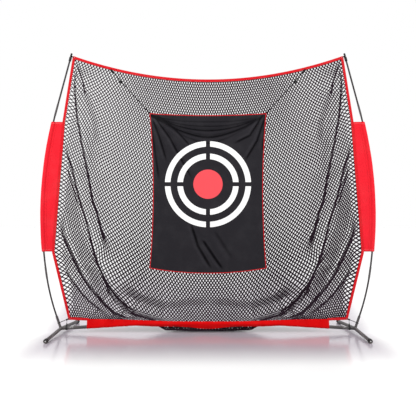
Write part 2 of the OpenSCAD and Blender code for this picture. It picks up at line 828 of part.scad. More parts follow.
target_corner = [target_w / 2, target_top];
strap_top = [strap_x, top_edge_z(strap_x)];
hang_dir = (target_corner - strap_top) / norm(target_corner - strap_top);
ring_wire = 2.2;
ring_long = 26;
ring_short = 15;
hang_cos = -hang_dir[1];
swing_point = strap_top + hang_dir * (binding_w / 2 / hang_cos + strap_len + ring_short);
strap_w = ring_long - 4 * ring_wire - 1.4;
strap_t = 3.2;
// The straps are sewn on the front of the webbing, so the target hangs this far forward.
hang_y = -(binding_t + strap_t) / 2;
module hung() {
    translate([0, hang_y, 0]) children();
}
eye_tab = 13;
tab_eye = target_corner - hang_dir * eye_tab;

// A strap folded round the ring's upper bar and sewn on the top webbing.
module target_straps() {
    ring_bar = swing_point - hang_dir * ring_short;
    wrap_r = min(ring_wire + slip + strap_t / 2, binding_t / 2 - hang_y - touch);
    for (side = [-1, 1]) color(black) on_side(side) hung() difference() {
        union() {
            toward(ring_bar, strap_top) translate([-strap_w / 2, -strap_t / 2, 0])
                cube([strap_w, strap_t, strap_len + 3 * binding_w]);
            toward(ring_bar, strap_top) rotate([0, 90, 0])
                cylinder(h = strap_w, r = wrap_r, center = true);
        }
        toward(ring_bar, strap_top) rotate([0, 90, 0])
            cylinder(h = strap_w + 2, r = ring_wire + slip, center = true);
        upright(20) polygon(concat(
            [for (k = [0:top_steps]) mitred(edge_line, k, binding_w / 2)],
            [[top_x + 50, top_z + 100], [-top_x - 50, top_z + 100]]
        ));
    }
}

module target_rings() {
    for (side = [-1, 1]) color(zinc) on_side(side) hung() toward(swing_point, strap_top) {
        for (z = [0, ring_short]) {
            translate([0, 0, z]) rotate([0, 90, 0])
                cylinder(h = ring_long - 2 * ring_wire, r = ring_wire, center = true);
        }
        for (m = [-1, 1]) translate([m * (ring_long / 2 - ring_wire), 0, 0]) {
            cylinder(h = ring_short, r = ring_wire);
            sphere(ring_wire);
            translate([0, 0, ring_short]) sphere(ring_wire);
        }
    }
}

// Each cord is a loop that hangs on its ring and holds the tab at the target's corner.
cord_top = swing_point + hang_dir * (cord_gap - cord_r - ring_wire - touch);
cord_end = end_center(swing_point, tab_eye, cord_gap);
module target_cord(side) {
    color(black) on_side(side) hung() belt(cord_top, cord_end, cord_gap, cord_gap, cord_r);
}

plunger_r = cord_gap + cord_r + 0.9;
lock_r = plunger_r + slip + 1.5;
lock_len = 17;
lock_point = swing_point + hang_dir * lock_drop;
// Stands a thing on a cord lock, with +X along the plunger and +Z up the cord.
module at_lock() {
    hung() toward(lock_point, strap_top) children();
}
module cord_runs(r, half) {
    for (m = [-1, 1]) translate([0, m * cord_gap, -half]) cylinder(h = 2 * half, r = r);
}

module lock_body(side) {
    color(black) on_side(side) at_lock() difference() {
        translate([-lock_len / 2, 0, 0]) rotate([0, 90, 0]) cylinder(h = lock_len, r = lock_r);
        translate([-lock_len / 2 + 2, 0, 0]) rotate([0, 90, 0])
            cylinder(h = lock_len, r = plunger_r + slip);
        cord_runs(cord_r + slip, 30);
    }
}

// The plunger's slots are as long as its travel, and at rest the cords are pinched.
plunger_x = -lock_len / 2 + 2 + lock_travel + 1;
module lock_plunger(side) {
    color(black) on_side(side) at_lock() difference() {
        union() {
            translate([plunger_x, 0, 0]) rotate([0, 90, 0])
                cylinder(h = lock_len - 2 - 1, r = plunger_r);
            translate([plunger_x + lock_len - 3, 0, 0]) rotate([0, 90, 0])
                cylinder(h = 3, r1 = plunger_r, r2 = plunger_r - 2);
        }
        for (x = [0, lock_travel]) translate([x, 0, 0]) cord_runs(cord_r + slip, 30);
        for (m = [-1, 1]) translate([0, m * cord_gap - cord_r - slip, -30])
            cube([lock_travel, 2 * (cord_r + slip), 60]);
    }
}

// A coil spring between the cord's runs pushes the cord lock's plunger out.
spring_wire = 0.6;
spring_turns = 3;
module lock_spring(side) {
    rise = plunger_x + lock_len / 2 - 2 - 2 * touch - 2 * spring_wire;
    turn_steps = 10;
    steps = turn_steps * spring_turns;
    sides = 6;
    coil_r = cord_gap - cord_r - spring_wire - touch;
    points = [for (k = [0:steps]) let(a = 360 * k / turn_steps) for (s = [0:sides - 1])
        let(b = 360 * s / sides, r = coil_r + spring_wire * cos(b))
        [r * cos(a), r * sin(a), rise * k / steps + spring_wire * sin(b)]];
    skin = [for (k = [0:steps - 1]) for (s = [0:sides - 1])
        let(a = k * sides + s, b = k * sides + (s + 1) % sides)
        each [[a, b, b + sides], [a, b + sides, a + sides]]];
    ends = [[for (s = [sides - 1:-1:0]) s], [for (s = [0:sides - 1]) steps * sides + s]];
    color(zinc) on_side(side) at_lock()
        translate([-lock_len / 2 + 2 + touch + spring_wire, 0, 0]) rotate([0, 90, 0])
            polyhedron(points, concat(skin, ends));
}

// ---- the target ---------------------------------------------------------------------

target_edge_w = 7;
target_t = 1.6;
edge_steps = 8;
target_low = target_top - target_h;
// The cloth's outline for u from -1 to 1 across and v from 0 to 1 down.
function target_xz(u, v, inset = 0) = let(
        w = target_w / 2 - inset - target_waist * 4 * v * (1 - v),
        top = target_top - inset - target_top_sag * (1 - u * u),
        low = target_low + inset - target_low_sag * (1 - u * u)
    )
    [u * w, lerp(top, low, v)];
target_line = concat(
    [for (k = [0:edge_steps - 1]) target_xz(2 * k / edge_steps - 1, 0)],
    [for (k = [0:edge_steps - 1]) target_xz(1, k / edge_steps)],
    [for (k = [0:edge_steps - 1]) target_xz(1 - 2 * k / edge_steps, 1)],
    [for (k = [0:edge_steps - 1]) target_xz(-1, 1 - k / edge_steps)]
);

module target_binding() {
    color(red) hung() rotate([90, 0, 0]) linear_extrude(target_t + 1.2, center = true) difference() {
        polygon([for (k = [0:len(target_line) - 1]) mitred(target_line, k, 0)]);
        polygon([for (k = [0:len(target_line) - 1]) mitred(target_line, k, -target_edge_w)]);
    }
}

// Swags hang from the top corners, and slanting folds rise from the bottom.
function target_y(u, v) = let(
        hold = ease((1 - abs(u)) * 6) * ease(v * 8) * ease((1 - v) * 8),
        swag = sin(540 * clamp01(v - 0.16 * (1 - u * u)) * 3) * ease((0.34 - v) * 6),
        slant = sin(360 * (2.6 * abs(u) - 2.2 * v)) * ease((v - 0.6) * 3)
    )
    target_fold * hold * (0.7 * swag + 0.8 * slant);

module target_cloth() {
    nu = 16;
    nv = 22;
    inset = target_edge_w + 2 * touch;
    grid = [for (j = [0:nv]) for (i = [0:nu])
        let(u = 2 * i / nu - 1, v = j / nv, p = target_xz(u, v, inset)) [p[0], target_y(u, v), p[1]]];
    n = len(grid);
    points = concat([for (p = grid) p - [0, target_t / 2, 0]], [for (p = grid) p + [0, target_t / 2, 0]]);
    skin = [for (j = [0:nv - 1]) for (i = [0:nu - 1])
        let(a = j * (nu + 1) + i, b = a + 1, c = a + nu + 2, d = a + nu + 1)
        each [[a, b, c], [a, c, d], [a + n, c + n, b + n], [a + n, d + n, c + n]]];
    rim = concat(
        [for (i = [0:nu - 1]) i], [for (j = [0:nv - 1]) j * (nu + 1) + nu],
        [for (i = [nu:-1:1]) nv * (nu + 1) + i], [for (j = [nv:-1:1]) j * (nu + 1)]
    );
    wall = [for (k = [0:len(rim) - 1]) let(a = rim[k], b = rim[(k + 1) % len(rim)])
        each [[b, a, a + n], [b, a + n, b + n]]];
    color(black) hung() polyhedron(points, concat(skin, wall));
}

// A tab with an eye stands out of each top corner of the target.
module target_tabs() {
    eye_r = cord_r + 0.6;
    for (side = [-1, 1]) color(black) on_side(side) hung() difference() {
        union() {
            toward(target_corner, tab_eye) translate([-5, -1.1, 0]) cube([10, 2.2, eye_tab]);
            translate(v3(tab_eye)) rotate([90, 0, 0]) cylinder(h = 2.2, r = 6, center = true);
        }
        translate(v3(tab_eye)) rotate([90, 0, 0]) cylinder(h = 8, r = eye_r, center = true);
        rotate([90, 0, 0]) linear_extrude(8, center = true) polygon(target_line);
    }
}

foot_tube(-1);  // left_foot_tube
foot_tube(1);  // right_foot_tube
corner_joint(-1);  // left_corner_joint
corner_joint(1);  // right_corner_joint
foot_cap(-1, true);  // left_front_cap
foot_cap(1, true);  // right_front_cap
foot_cap(-1, false);  // left_rear_cap
foot_cap(1, false);  // right_rear_cap
side_tube(-1);  // left_crossbar_tube
side_tube(1);  // right_crossbar_tube
center_tube();  // center_crossbar_tube
crossbar_joiners();
snap_button(-1);  // left_snap_button
snap_button(1);  // right_snap_button
snap_spring(-1);  // left_snap_spring
snap_spring(1);  // right_snap_spring
pole_section(-1, 1);  // left_pole_1
pole_section(-1, 2);  // left_pole_2
pole_section(-1, 3);  // left_pole_3
pole_section(-1, 4);  // left_pole_4
pole_section(-1, 5);  // left_pole_5
pole_section(1, 1);  // right_pole_1
pole_section(1, 2);  // right_pole_2
pole_section(1, 3);  // right_pole_3
pole_section(1, 4);  // right_pole_4
pole_section(1, 5);  // right_pole_5
pole_ferrules(-1);  // left_pole_ferrules
pole_ferrules(1);  // right_pole_ferrules
shock_cords();
tip_cap(-1);  // left_tip_cap
tip_cap(1);  // right_tip_cap
top_loop(-1);  // left_top_loop
top_loop(1);  // right_top_loop
binding(0, top_steps);  // top_binding
binding(top_steps + 6, top_steps + 9);  // left_side_binding
binding(top_steps, top_steps + 3);  // right_side_binding
bottom_bindings();
net_grommets();
net();
side_flap(-1);  // left_side_flap
side_flap(1);  // right_side_flap
bottom_band();
bottom_elastic(-1);  // left_bottom_elastic
bottom_elastic(1);  // right_bottom_elastic
bottom_beads();
stub_hook(-1);  // left_stub_hook
stub_hook(1);  // right_stub_hook
target_straps();
target_rings();
target_cord(-1);  // left_target_cord
target_cord(1);  // right_target_cord
lock_body(-1);  // left_lock_body
lock_body(1);  // right_lock_body
lock_plunger(-1);  // left_lock_plunger
lock_plunger(1);  // right_lock_plunger
lock_spring(-1);  // left_lock_spring
lock_spring(1);  // right_lock_spring
target_cloth();
target_binding();
target_tabs();
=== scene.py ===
import json
import math

import bpy
import numpy as np
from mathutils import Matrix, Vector

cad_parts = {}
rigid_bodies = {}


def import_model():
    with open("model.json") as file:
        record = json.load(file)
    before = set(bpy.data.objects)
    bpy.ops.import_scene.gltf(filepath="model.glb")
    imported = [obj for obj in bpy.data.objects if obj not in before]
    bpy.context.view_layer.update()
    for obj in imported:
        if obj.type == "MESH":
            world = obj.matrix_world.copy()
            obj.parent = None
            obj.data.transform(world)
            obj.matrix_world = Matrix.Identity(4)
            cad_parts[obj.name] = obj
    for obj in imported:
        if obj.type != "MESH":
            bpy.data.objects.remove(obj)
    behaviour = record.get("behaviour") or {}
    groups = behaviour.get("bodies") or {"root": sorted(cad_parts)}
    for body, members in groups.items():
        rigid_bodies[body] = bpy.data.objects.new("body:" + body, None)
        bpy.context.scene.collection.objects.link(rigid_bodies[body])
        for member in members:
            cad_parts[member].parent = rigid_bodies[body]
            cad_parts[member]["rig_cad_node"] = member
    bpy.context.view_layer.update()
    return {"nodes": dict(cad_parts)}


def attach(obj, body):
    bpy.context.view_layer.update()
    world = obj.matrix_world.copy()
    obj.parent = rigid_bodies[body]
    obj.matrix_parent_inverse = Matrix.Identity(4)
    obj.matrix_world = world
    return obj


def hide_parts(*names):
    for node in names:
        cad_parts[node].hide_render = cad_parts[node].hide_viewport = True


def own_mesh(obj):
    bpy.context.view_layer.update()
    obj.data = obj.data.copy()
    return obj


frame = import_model()
cad = frame["nodes"]


# ---- Floor, light and camera --------------------------------------------------
# A glossy white studio floor under a white sky, with a painted lilac-grey shadow and reflection of the net
# under and behind it, three large soft lamps, and a camera straight in front, a little below the net's
# middle.

view_distance = 5.651
view_height = 0.95

lens = bpy.data.cameras.new("camera")
lens.lens = 64.04
lens.sensor_width = 36.0
camera = bpy.data.objects.new("camera", lens)
bpy.context.scene.collection.objects.link(camera)
camera.location = (0.0, -view_distance, view_height)
camera.rotation_euler = (math.radians(90), 0, 0)
bpy.context.scene.camera = camera
bpy.context.scene.view_settings.view_transform = "Standard"

sky = bpy.data.worlds.new("white studio")
sky.use_nodes = True
sky.node_tree.nodes["Background"].inputs["Color"].default_value = (1, 1, 1, 1)
sky.node_tree.nodes["Background"].inputs["Strength"].default_value = 1.0
bpy.context.scene.world = sky


def lamp(name, place, size, power):
    light = bpy.data.lights.new(name, "AREA")
    light.shape = "DISK"
    light.size = size
    light.energy = power
    made = bpy.data.objects.new(name, light)
    bpy.context.scene.collection.objects.link(made)
    made.location = place
    aim = Vector((0, 0.1, 0.9)) - Vector(place)
    made.rotation_euler = aim.to_track_quat("-Z", "Y").to_euler()


lamp("key softbox", (-3.4, -4.2, 4.6), 2.4, 125)
lamp("fill softbox", (3.8, -3.6, 3.0), 2.8, 50)
lamp("back softbox", (0.6, 2.6, 6.0), 2.4, 130)


def shader(name, **sockets):
    """A new material, its node tree and its Principled shader with these plain values."""
    material = bpy.data.materials.new(name)
    material.use_nodes = True
    skin = material.node_tree.nodes["Principled BSDF"]
    for socket, value in sockets.items():
        skin.inputs[socket.replace("_", " ")].default_value = value
    return material, material.node_tree, skin


def put(tree, kind, inputs=None, **settings):
    """A node with its settings, and its inputs as plain values or as wires."""
    made = tree.nodes.new("ShaderNode" + kind)
    for setting, value in settings.items():
        setattr(made, setting, value)
    for socket, value in (inputs or {}).items():
        if isinstance(value, bpy.types.NodeSocket):
            tree.links.new(value, made.inputs[socket])
        else:
            made.inputs[socket].default_value = value
    return made


def calc(tree, operation, a, b=0.0, c=0.0):
    """The result of one arithmetic node."""
    return put(tree, "Math", {0: a, 1: b, 2: c}, operation=operation).outputs[0]


def blur_step(tree, value, low, high):
    """0 below low and 1 above high, with a soft edge between them."""
    ramp = put(tree, "MapRange", {0: value, 1: low, 2: high}, interpolation_type="SMOOTHSTEP")
    return ramp.outputs[0]


def tint(tree, factor, first, second):
    """A colour from first to second by the factor."""
    made = put(tree, "Mix", {0: factor, 6: first, 7: second}, data_type="RGBA")
    return made.outputs[2]


def spot(tree, uv=False):
    """Where on the piece: its own space in metres, or its own cut."""
    made = put(tree, "TexCoord")
    return made.outputs["UV" if uv else "Object"]


def pick(*pieces):
    """Selects these pieces and nothing else, and makes the first one active."""
    bpy.ops.object.select_all(action="DESELECT")
    for piece in pieces:
        piece.select_set(True)
    if pieces:
        bpy.context.view_layer.objects.active = pieces[0]


# Painted shadow: a lilac-grey patch of floor under and behind the net stands for the net's shadow and
# reflection. It is this wide either side of the middle, widens the further back it goes, and fades out at
# its ends.
shadow_half, shadow_spread, shadow_edge = 1.30, 0.12, 0.18
shadow_ends = ((-1.25, -0.50), (7.0, 2.0))
near_floor, far_floor = 3.0, 9.0

pick()
bpy.ops.mesh.primitive_plane_add(size=60, location=(0, 0, 0))
floor = bpy.context.object
floor.name = "studio_floor"
paint, tree, skin = shader("glossy white floor with a painted net shadow", Roughness=0.16)
here = put(tree, "SeparateXYZ", {0: spot(tree)}).outputs
reach = calc(tree, "MULTIPLY_ADD", calc(tree, "MAXIMUM", here[1], 0.0), shadow_spread, shadow_half)
off = calc(tree, "SUBTRACT", calc(tree, "ABSOLUTE", here[0]), reach)
painted_shadow = blur_step(tree, off, 0.0, -shadow_edge)
for start, end in shadow_ends:
    painted_shadow = calc(tree, "MULTIPLY", painted_shadow, blur_step(tree, here[1], start, end))
far = put(tree, "VectorMath", {0: spot(tree)}, operation="LENGTH").outputs["Value"]
paper = tint(tree, blur_step(tree, far, near_floor, far_floor),
             (0.86, 0.86, 0.86, 1), (0.985, 0.985, 0.985, 1))
# The floor's own paint goes from light grey near the middle to nearly white far off. The painted shadow's
# lilac-grey is mixed over it, and the floor is glossier within the painted shadow.
tree.links.new(tint(tree, painted_shadow, paper, (0.50, 0.455, 0.51, 1)), skin.inputs["Base Color"])
tree.links.new(calc(tree, "MULTIPLY_ADD", painted_shadow, 0.3, 0.04), skin.inputs["Specular IOR Level"])
floor.data.materials.append(paint)


# ---- The poles' bowed line -------------------------------------------------------
# Each pole is one line of four runs: a straight foot in its socket, a tight bend, a
# long bow, and a straight tip. The elastic cord inside it and the flap's sleeve
# follow the same line, so it is worked out here.

joint_x, joint_z = 1.1235, 0.030
pole_runs = (
    (0.0, 0.1, 19.0),
    (1.76992, 0.3398, 19.0),
    (3.1, 1.2534, 8.0),
    (0.0, 0.4178, -15.166),
)
pole_end = 2.111


def pole_point(s):
    """The point of the right pole's line at a length s from the foot tube, as x and z."""
    x, z = joint_x, joint_z
    for radius, length, lean in pole_runs:
        step = min(s, length)
        a = math.radians(lean)
        if radius:
            b = a - step / radius
            x += radius * (math.cos(b) - math.cos(a))
            z += radius * (math.sin(a) - math.sin(b))
        else:
            x += step * math.sin(a)
            z += step * math.cos(a)
        s -= step
        if s <= 0:
            break
    return x, z


def pole_reach(height):
    """The length along the pole at which it reaches a height."""
    low, high = 0.0, pole_end
    for _ in range(40):
        middle = (low + high) / 2
        if pole_point(middle)[1] < height:
            low = middle
        else:
            high = middle
    return low


# ---- Elastic cords ---------------------------------------------------------------
# Black braided elastic. Two doubled cords hang the target by its corners, two loops turn
# round the poles' caps and are seized at the net's top corners, two go round the sockets
# at the bottom, and one runs straight inside each pole.

target_cord_d = 0.005
loop_cord_d = 0.0035
seizing_turns, seizing_d = 3, 0.0018
shock_cord_d = 0.003


def sewn_mesh(name, points, faces, corner_uv=None):
    """A smooth mesh piece from its points, faces and the UV of each face corner."""
    mesh = bpy.data.meshes.new(name)
    mesh.from_pydata([tuple(p) for p in points], [], faces)
    if corner_uv is not None:
        layer = mesh.uv_layers.new(name="Cut")
        layer.data.foreach_set("uv", np.asarray(corner_uv, np.float32).ravel())
    mesh.polygons.foreach_set("use_smooth", [True] * len(mesh.polygons))
    mesh.update()
    piece = bpy.data.objects.new(name, mesh)
    bpy.context.scene.collection.objects.link(piece)
    return piece


def run_of(line):
    """How far along a line each of its points lies."""
    steps = np.linalg.norm(np.diff(np.array(line, float), axis=0), axis=1)
    return np.concatenate([[0], np.cumsum(steps)])


def wrap_faces(rings, sides, closed=False):
    """The faces round a row of rings of points, which all have the same number of sides."""
    faces = []
    for k in range(rings if closed else rings - 1):
        here, there = k * sides, (k + 1) % rings * sides
        for a in range(sides):
            b = (a + 1) % sides
            faces.append((here + a, here + b, there + b, there + a))
    return faces


def wrap_cut(around, run):
    """The UV of those faces, from the u where each side begins and ends and the v of each ring."""
    uv = []
    for start, end in zip(run, run[1:]):
        for left, right in around:
            uv += [(left, start), (right, start), (right, end), (left, end)]
    return uv


def round_cord(name, line, radius, sides=12):
    """A round cord along a line. Its UV is once round, and metres along."""
    line = [Vector(p) for p in line]
    last = len(line) - 1
    points, side = [], None
    for k, p in enumerate(line):
        ahead = (line[min(k + 1, last)] - line[max(k - 1, 0)]).normalized()
        side = ahead.orthogonal() if side is None else side - ahead * side.dot(ahead)
        side.normalize()
        up = ahead.cross(side)
        for s in range(sides):
            a = 2 * math.pi * s / sides
            points.append(p + radius * (math.cos(a) * side + math.sin(a) * up))
    run = run_of(line)
    faces = wrap_faces(len(line), sides)
    uv = wrap_cut([(s / sides, (s + 1) / sides) for s in range(sides)], run)
    for ring, order in ((0, range(sides - 1, -1, -1)), (last, range(sides))):
        faces.append([ring * sides + s for s in order])
        uv += [(s / sides, run[ring]) for s in order]
    return sewn_mesh(name, points, faces, uv)


def hairpin(p, q, near, far, y=0.0, wraps=0, climb=Vector((0, 0, 0))):
    """A cord round two centres p and q, given as x and z. It starts and ends at the far side of q.

    wraps is the number of further turns round p, and climb is how far they climb in all.
    """
    turn_steps, run_steps = 18, 24
    ahead = Vector((q[0] - p[0], 0, q[1] - p[1]))
    touch_angle = math.acos((near - far) / ahead.length)
    ahead.normalize()

    def rim(center, radius, a):
        out = math.cos(a) * ahead + math.sin(a) * Vector((0, 1, 0))
        return Vector((center[0], y, center[1])) + radius * out

    line = [rim(q, far, touch_angle * k / turn_steps) for k in range(turn_steps + 1)]
    steps = 2 * turn_steps * (wraps + 1)
    bend = 2 * math.pi * (wraps + 1) - 2 * touch_angle
    back = [rim(p, near, touch_angle + bend * k / steps) + climb * (k / steps - 0.5)
            for k in range(steps + 1)]
    mirrored = [Vector((v.x, 2 * y - v.y, v.z)) for v in line[::-1]]
    line += [line[-1].lerp(back[0], k / run_steps) for k in range(1, run_steps)] + back
    return line + [back[-1].lerp(mirrored[0], k / run_steps) for k in range(1, run_steps)] + mirrored


def on_side(line, side):
    return [Vector((side * p[0], p[1], p[2])) for p in line]


def bump(tree, skin, height, depth):
    """Gives a shader the relief of a height, with depth as the metres that a height of 1 stands for."""
    made = put(tree, "Bump", {"Height": height, "Distance": depth, "Strength": 1.0})
    tree.links.new(made.outputs["Normal"], skin.inputs["Normal"])


def noise(tree, place, scale, detail=2.0, roughness=0.5, stretch=(1, 1, 1)):
    """A soft noise from 0 to 1, on a place stretched by three factors."""
    mapped = put(tree, "Mapping", {"Vector": place, "Scale": stretch})
    made = put(tree, "TexNoise", {
        "Vector": mapped.outputs[0], "Scale": scale, "Detail": detail, "Roughness": roughness,
    })
    return made.outputs[0]


braid_yarns, braid_pitch = 6, 0.0032
elastic, tree, skin = shader("braided black elastic", Roughness=0.85, Specular_IOR_Level=0.04)
place = put(tree, "SeparateXYZ", {0: spot(tree, uv=True)})
around = calc(tree, "MULTIPLY", place.outputs[0], 2 * math.pi * braid_yarns)
along = calc(tree, "MULTIPLY", place.outputs[1], 2 * math.pi / braid_pitch)
left_yarn = calc(tree, "SINE", calc(tree, "ADD", around, along))
right_yarn = calc(tree, "SINE", calc(tree, "SUBTRACT", around, along))
braid = calc(tree, "MULTIPLY_ADD", calc(tree, "MULTIPLY", left_yarn, right_yarn), 0.5, 0.5)
fleck = blur_step(tree, noise(tree, spot(tree, uv=True), 900.0, 1.0), 0.62, 0.72)
yarn = tint(tree, braid, (0.003, 0.003, 0.004, 1), (0.009, 0.009, 0.011, 1))
tree.links.new(tint(tree, fleck, yarn, (0.04, 0.04, 0.045, 1)), skin.inputs["Base Color"])
bump(tree, skin, braid, 0.0004)

hang_y = -0.0032
cord_gap = 0.006
ring_seat, tab_seat = (0.714456, 1.97375), (0.459648, 1.68813)
neck, grommet = (1.04515, 2.11125), (1.027306, 2.101269)
neck_wrap, grommet_wrap = 0.00635, 0.00475
neck_climb = 0.0108 * Vector((-0.26162, 0, 0.96517))
seizing_deep, seizing_high, seizing_start, seizing_steps = 0.0081, 0.0031, 0.0092, 24
socket, bead = (1.13848, 0.0734939), (1.06201, 0.104229)
socket_wrap, bead_wrap = 0.01155, 0.00475
shock_start, shock_end, shock_points = 0.0255, pole_end - 0.0035, 90


def fit_cord(name, line, diameter, body, node):
    """Makes an elastic cord along a line, in the place of the plain one."""
    piece = round_cord(name, line, diameter / 2)
    piece.data.materials.append(elastic)
    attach(piece, body)
    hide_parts(node)


for side, hand in ((-1, "left"), (1, "right")):
    line = on_side(hairpin(ring_seat, tab_seat, cord_gap, cord_gap, hang_y), side)
    fit_cord(hand + "_target_lacing", line, target_cord_d, "target", hand + "_target_cord")
    line = on_side(hairpin(neck, grommet, neck_wrap, grommet_wrap, wraps=3, climb=neck_climb), side)
    fit_cord(hand + "_corner_loop", line, loop_cord_d, "frame", hand + "_top_loop")

    ahead = Vector((grommet[0] - neck[0], 0, grommet[1] - neck[1])).normalized()
    across = Vector((-ahead.z, 0, ahead.x))
    coil = []
    for k in range(seizing_turns * seizing_steps + 1):
        a = 2 * math.pi * k / seizing_steps
        out = Vector((0, seizing_deep * math.cos(a), 0)) + seizing_high * math.sin(a) * across
        along = seizing_start + seizing_d * k / seizing_steps
        coil.append(Vector((neck[0], 0, neck[1])) + along * ahead + out)
    seizing = round_cord(hand + "_loop_seizing", on_side(coil, side), seizing_d / 2, sides=8)
    seizing.data.materials.append(elastic)
    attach(seizing, "frame")

    line = on_side(hairpin(socket, bead, socket_wrap, bead_wrap), side)
    fit_cord(hand + "_bottom_lash", line, loop_cord_d, "frame", hand + "_bottom_elastic")
    inside = [pole_point(s) for s in np.linspace(shock_start, shock_end, shock_points)]
    line = [Vector((side * x, 0, z)) for x, z in inside]
    fit_cord(hand + "_shock_cord", line, shock_cord_d, "frame", "shock_cords")


# ---- Steel feet and crossbar -------------------------------------------------------
# Bent steel tube with a charcoal powder coat. The coat is slightly pebbled, dusty on
# top, and rubbed to bare steel where one tube slides into the next.

def effect(name, inputs, outputs):
    """A node group with named sockets: its tree, its inside inputs and its inside outputs."""
    made = bpy.data.node_groups.new(name, "ShaderNodeTree")
    for socket, kind, value in inputs:
        made.interface.new_socket(socket, in_out="INPUT", socket_type="NodeSocket" + kind)
        if value is not None:
            made.interface.items_tree[socket].default_value = value
    for socket, kind in outputs:
        made.interface.new_socket(socket, in_out="OUTPUT", socket_type="NodeSocket" + kind)
    inside = made.nodes.new("NodeGroupInput")
    outside = made.nodes.new("NodeGroupOutput")
    return made, inside.outputs, outside.inputs


def use(tree, group, inputs):
    """One use of a node group, with its own values."""
    return put(tree, "Group", inputs, node_tree=group).outputs


def how_far(tree, value, middle):
    """How far a value lies from the middle, either way."""
    return calc(tree, "ABSOLUTE", calc(tree, "SUBTRACT", value, middle))


def vary_roughness(tree, skin, value, first, second):
    """Takes a shader's roughness from the first to the second as a value goes from 0 to 1."""
    ramp = put(tree, "MapRange", {0: value, 3: first, 4: second})
    tree.links.new(ramp.outputs[0], skin.inputs["Roughness"])


dust, inner, outer = effect(
    "dust", [("Place", "Vector", None), ("Amount", "Float", 0.3)], [("Mask", "Float")])
patches = blur_step(dust, noise(dust, inner["Place"], 9.0, 4.0), 0.42, 0.75)
grains = blur_step(dust, noise(dust, inner["Place"], 700.0, 2.0), 0.4, 0.8)
mixed = calc(dust, "MULTIPLY_ADD", grains, 0.6, calc(dust, "MULTIPLY", patches, 0.5))
dust.links.new(calc(dust, "MULTIPLY", mixed, inner["Amount"]), outer["Mask"])

pebble, inner, outer = effect(
    "pebbled coat", [("Place", "Vector", None), ("Grain", "Float", 900.0)],
    [("Height", "Float"), ("Speck", "Float")])
fine = put(pebble, "TexNoise", {"Vector": inner["Place"], "Scale": inner["Grain"], "Detail": 2.0})
pebble.links.new(fine.outputs[0], outer["Height"])
pebble.links.new(blur_step(pebble, fine.outputs[0], 0.6, 0.75), outer["Speck"])

scuff, inner, outer = effect(
    "scuffs", [("Place", "Vector", None), ("Amount", "Float", 0.5)], [("Mask", "Float")])
long_marks = noise(scuff, inner["Place"], 60.0, 3.0, 0.6, (1.0, 8.0, 8.0))
cross_marks = noise(scuff, inner["Place"], 160.0, 2.0, 0.6)
marks = calc(scuff, "MULTIPLY", blur_step(scuff, long_marks, 0.55, 0.7),
             blur_step(scuff, cross_marks, 0.45, 0.65))
scuff.links.new(calc(scuff, "MULTIPLY", marks, inner["Amount"]), outer["Mask"])


def coated_steel(name, rubbed=()):
    """Charcoal powder coat, rubbed at distances from the middle given as (place, width)."""
    material, tree, skin = shader(name, Specular_IOR_Level=0.45)
    here = spot(tree)
    coat = use(tree, pebble, {"Place": here})
    dirt = use(tree, dust, {"Place": here, "Amount": 0.28})["Mask"]
    across = calc(tree, "ABSOLUTE", put(tree, "SeparateXYZ", {0: here}).outputs[0])
    bare = use(tree, scuff, {"Place": here, "Amount": 0.25})["Mask"]
    for middle, width in rubbed:
        ring = blur_step(tree, calc(tree, "DIVIDE", how_far(tree, across, middle), width), 1.0, 0.0)
        worn = blur_step(tree, noise(tree, here, 220.0, 3.0, 0.6, (0.25, 1, 1)), 0.48, 0.58)
        bare = calc(tree, "MAXIMUM", bare, calc(tree, "MULTIPLY", ring, worn))
    shade = tint(tree, noise(tree, here, 14.0, 3.0), (0.030, 0.025, 0.027, 1), (0.050, 0.042, 0.045, 1))
    shade = tint(tree, coat["Speck"], shade, (0.085, 0.075, 0.08, 1))
    shade = tint(tree, dirt, shade, (0.30, 0.28, 0.26, 1))
    tree.links.new(tint(tree, bare, shade, (0.42, 0.41, 0.41, 1)), skin.inputs["Base Color"])
    tree.links.new(bare, skin.inputs["Metallic"])
    vary_roughness(tree, skin, noise(tree, here, 40.0), 0.42, 0.6)
    bump(tree, skin, coat["Height"], 0.00012)
    return material


def dress(names, material):
    """Gives CAD nodes their finish."""
    for name in names:
        cad[name].data.materials.clear()
        cad[name].data.materials.append(material)


foot_coat = coated_steel("charcoal coat of the feet", [(1.1235, 0.004)])
bar_coat = coated_steel("charcoal coat of the crossbar", [(0.537, 0.010), (1.033, 0.012)])
joint_coat = coated_steel("charcoal coat of the joints", [(1.050, 0.03)])
dress(("left_foot_tube", "right_foot_tube"), foot_coat)
dress(("left_crossbar_tube", "right_crossbar_tube", "center_crossbar_tube", "crossbar_joiners"), bar_coat)
dress(("left_corner_joint", "right_corner_joint"), joint_coat)


# ---- Welds -------------------------------------------------------------------------
# A bead of weld where each leaning socket and each crossbar stub meets the bent foot
# tube. It is laid in small overlapping scales and coated with the tube.

weld_r, weld_seat, weld_swell, weld_scales = 0.0021, 0.0004, 0.12, 19
tube_r = 0.0125
socket_lean, stub_lean = 19.0, -90.0 + 3.549
socket_pipe_r, stub_pipe_r = 0.0095, 0.0112


def on_all_of_it(operator, **settings):
    """Runs one operator of edit mode on the whole of the active piece."""
    bpy.ops.object.mode_set(mode="EDIT")
    bpy.ops.mesh.select_all(action="SELECT")
    operator(**settings)
    bpy.ops.object.mode_set(mode="OBJECT")


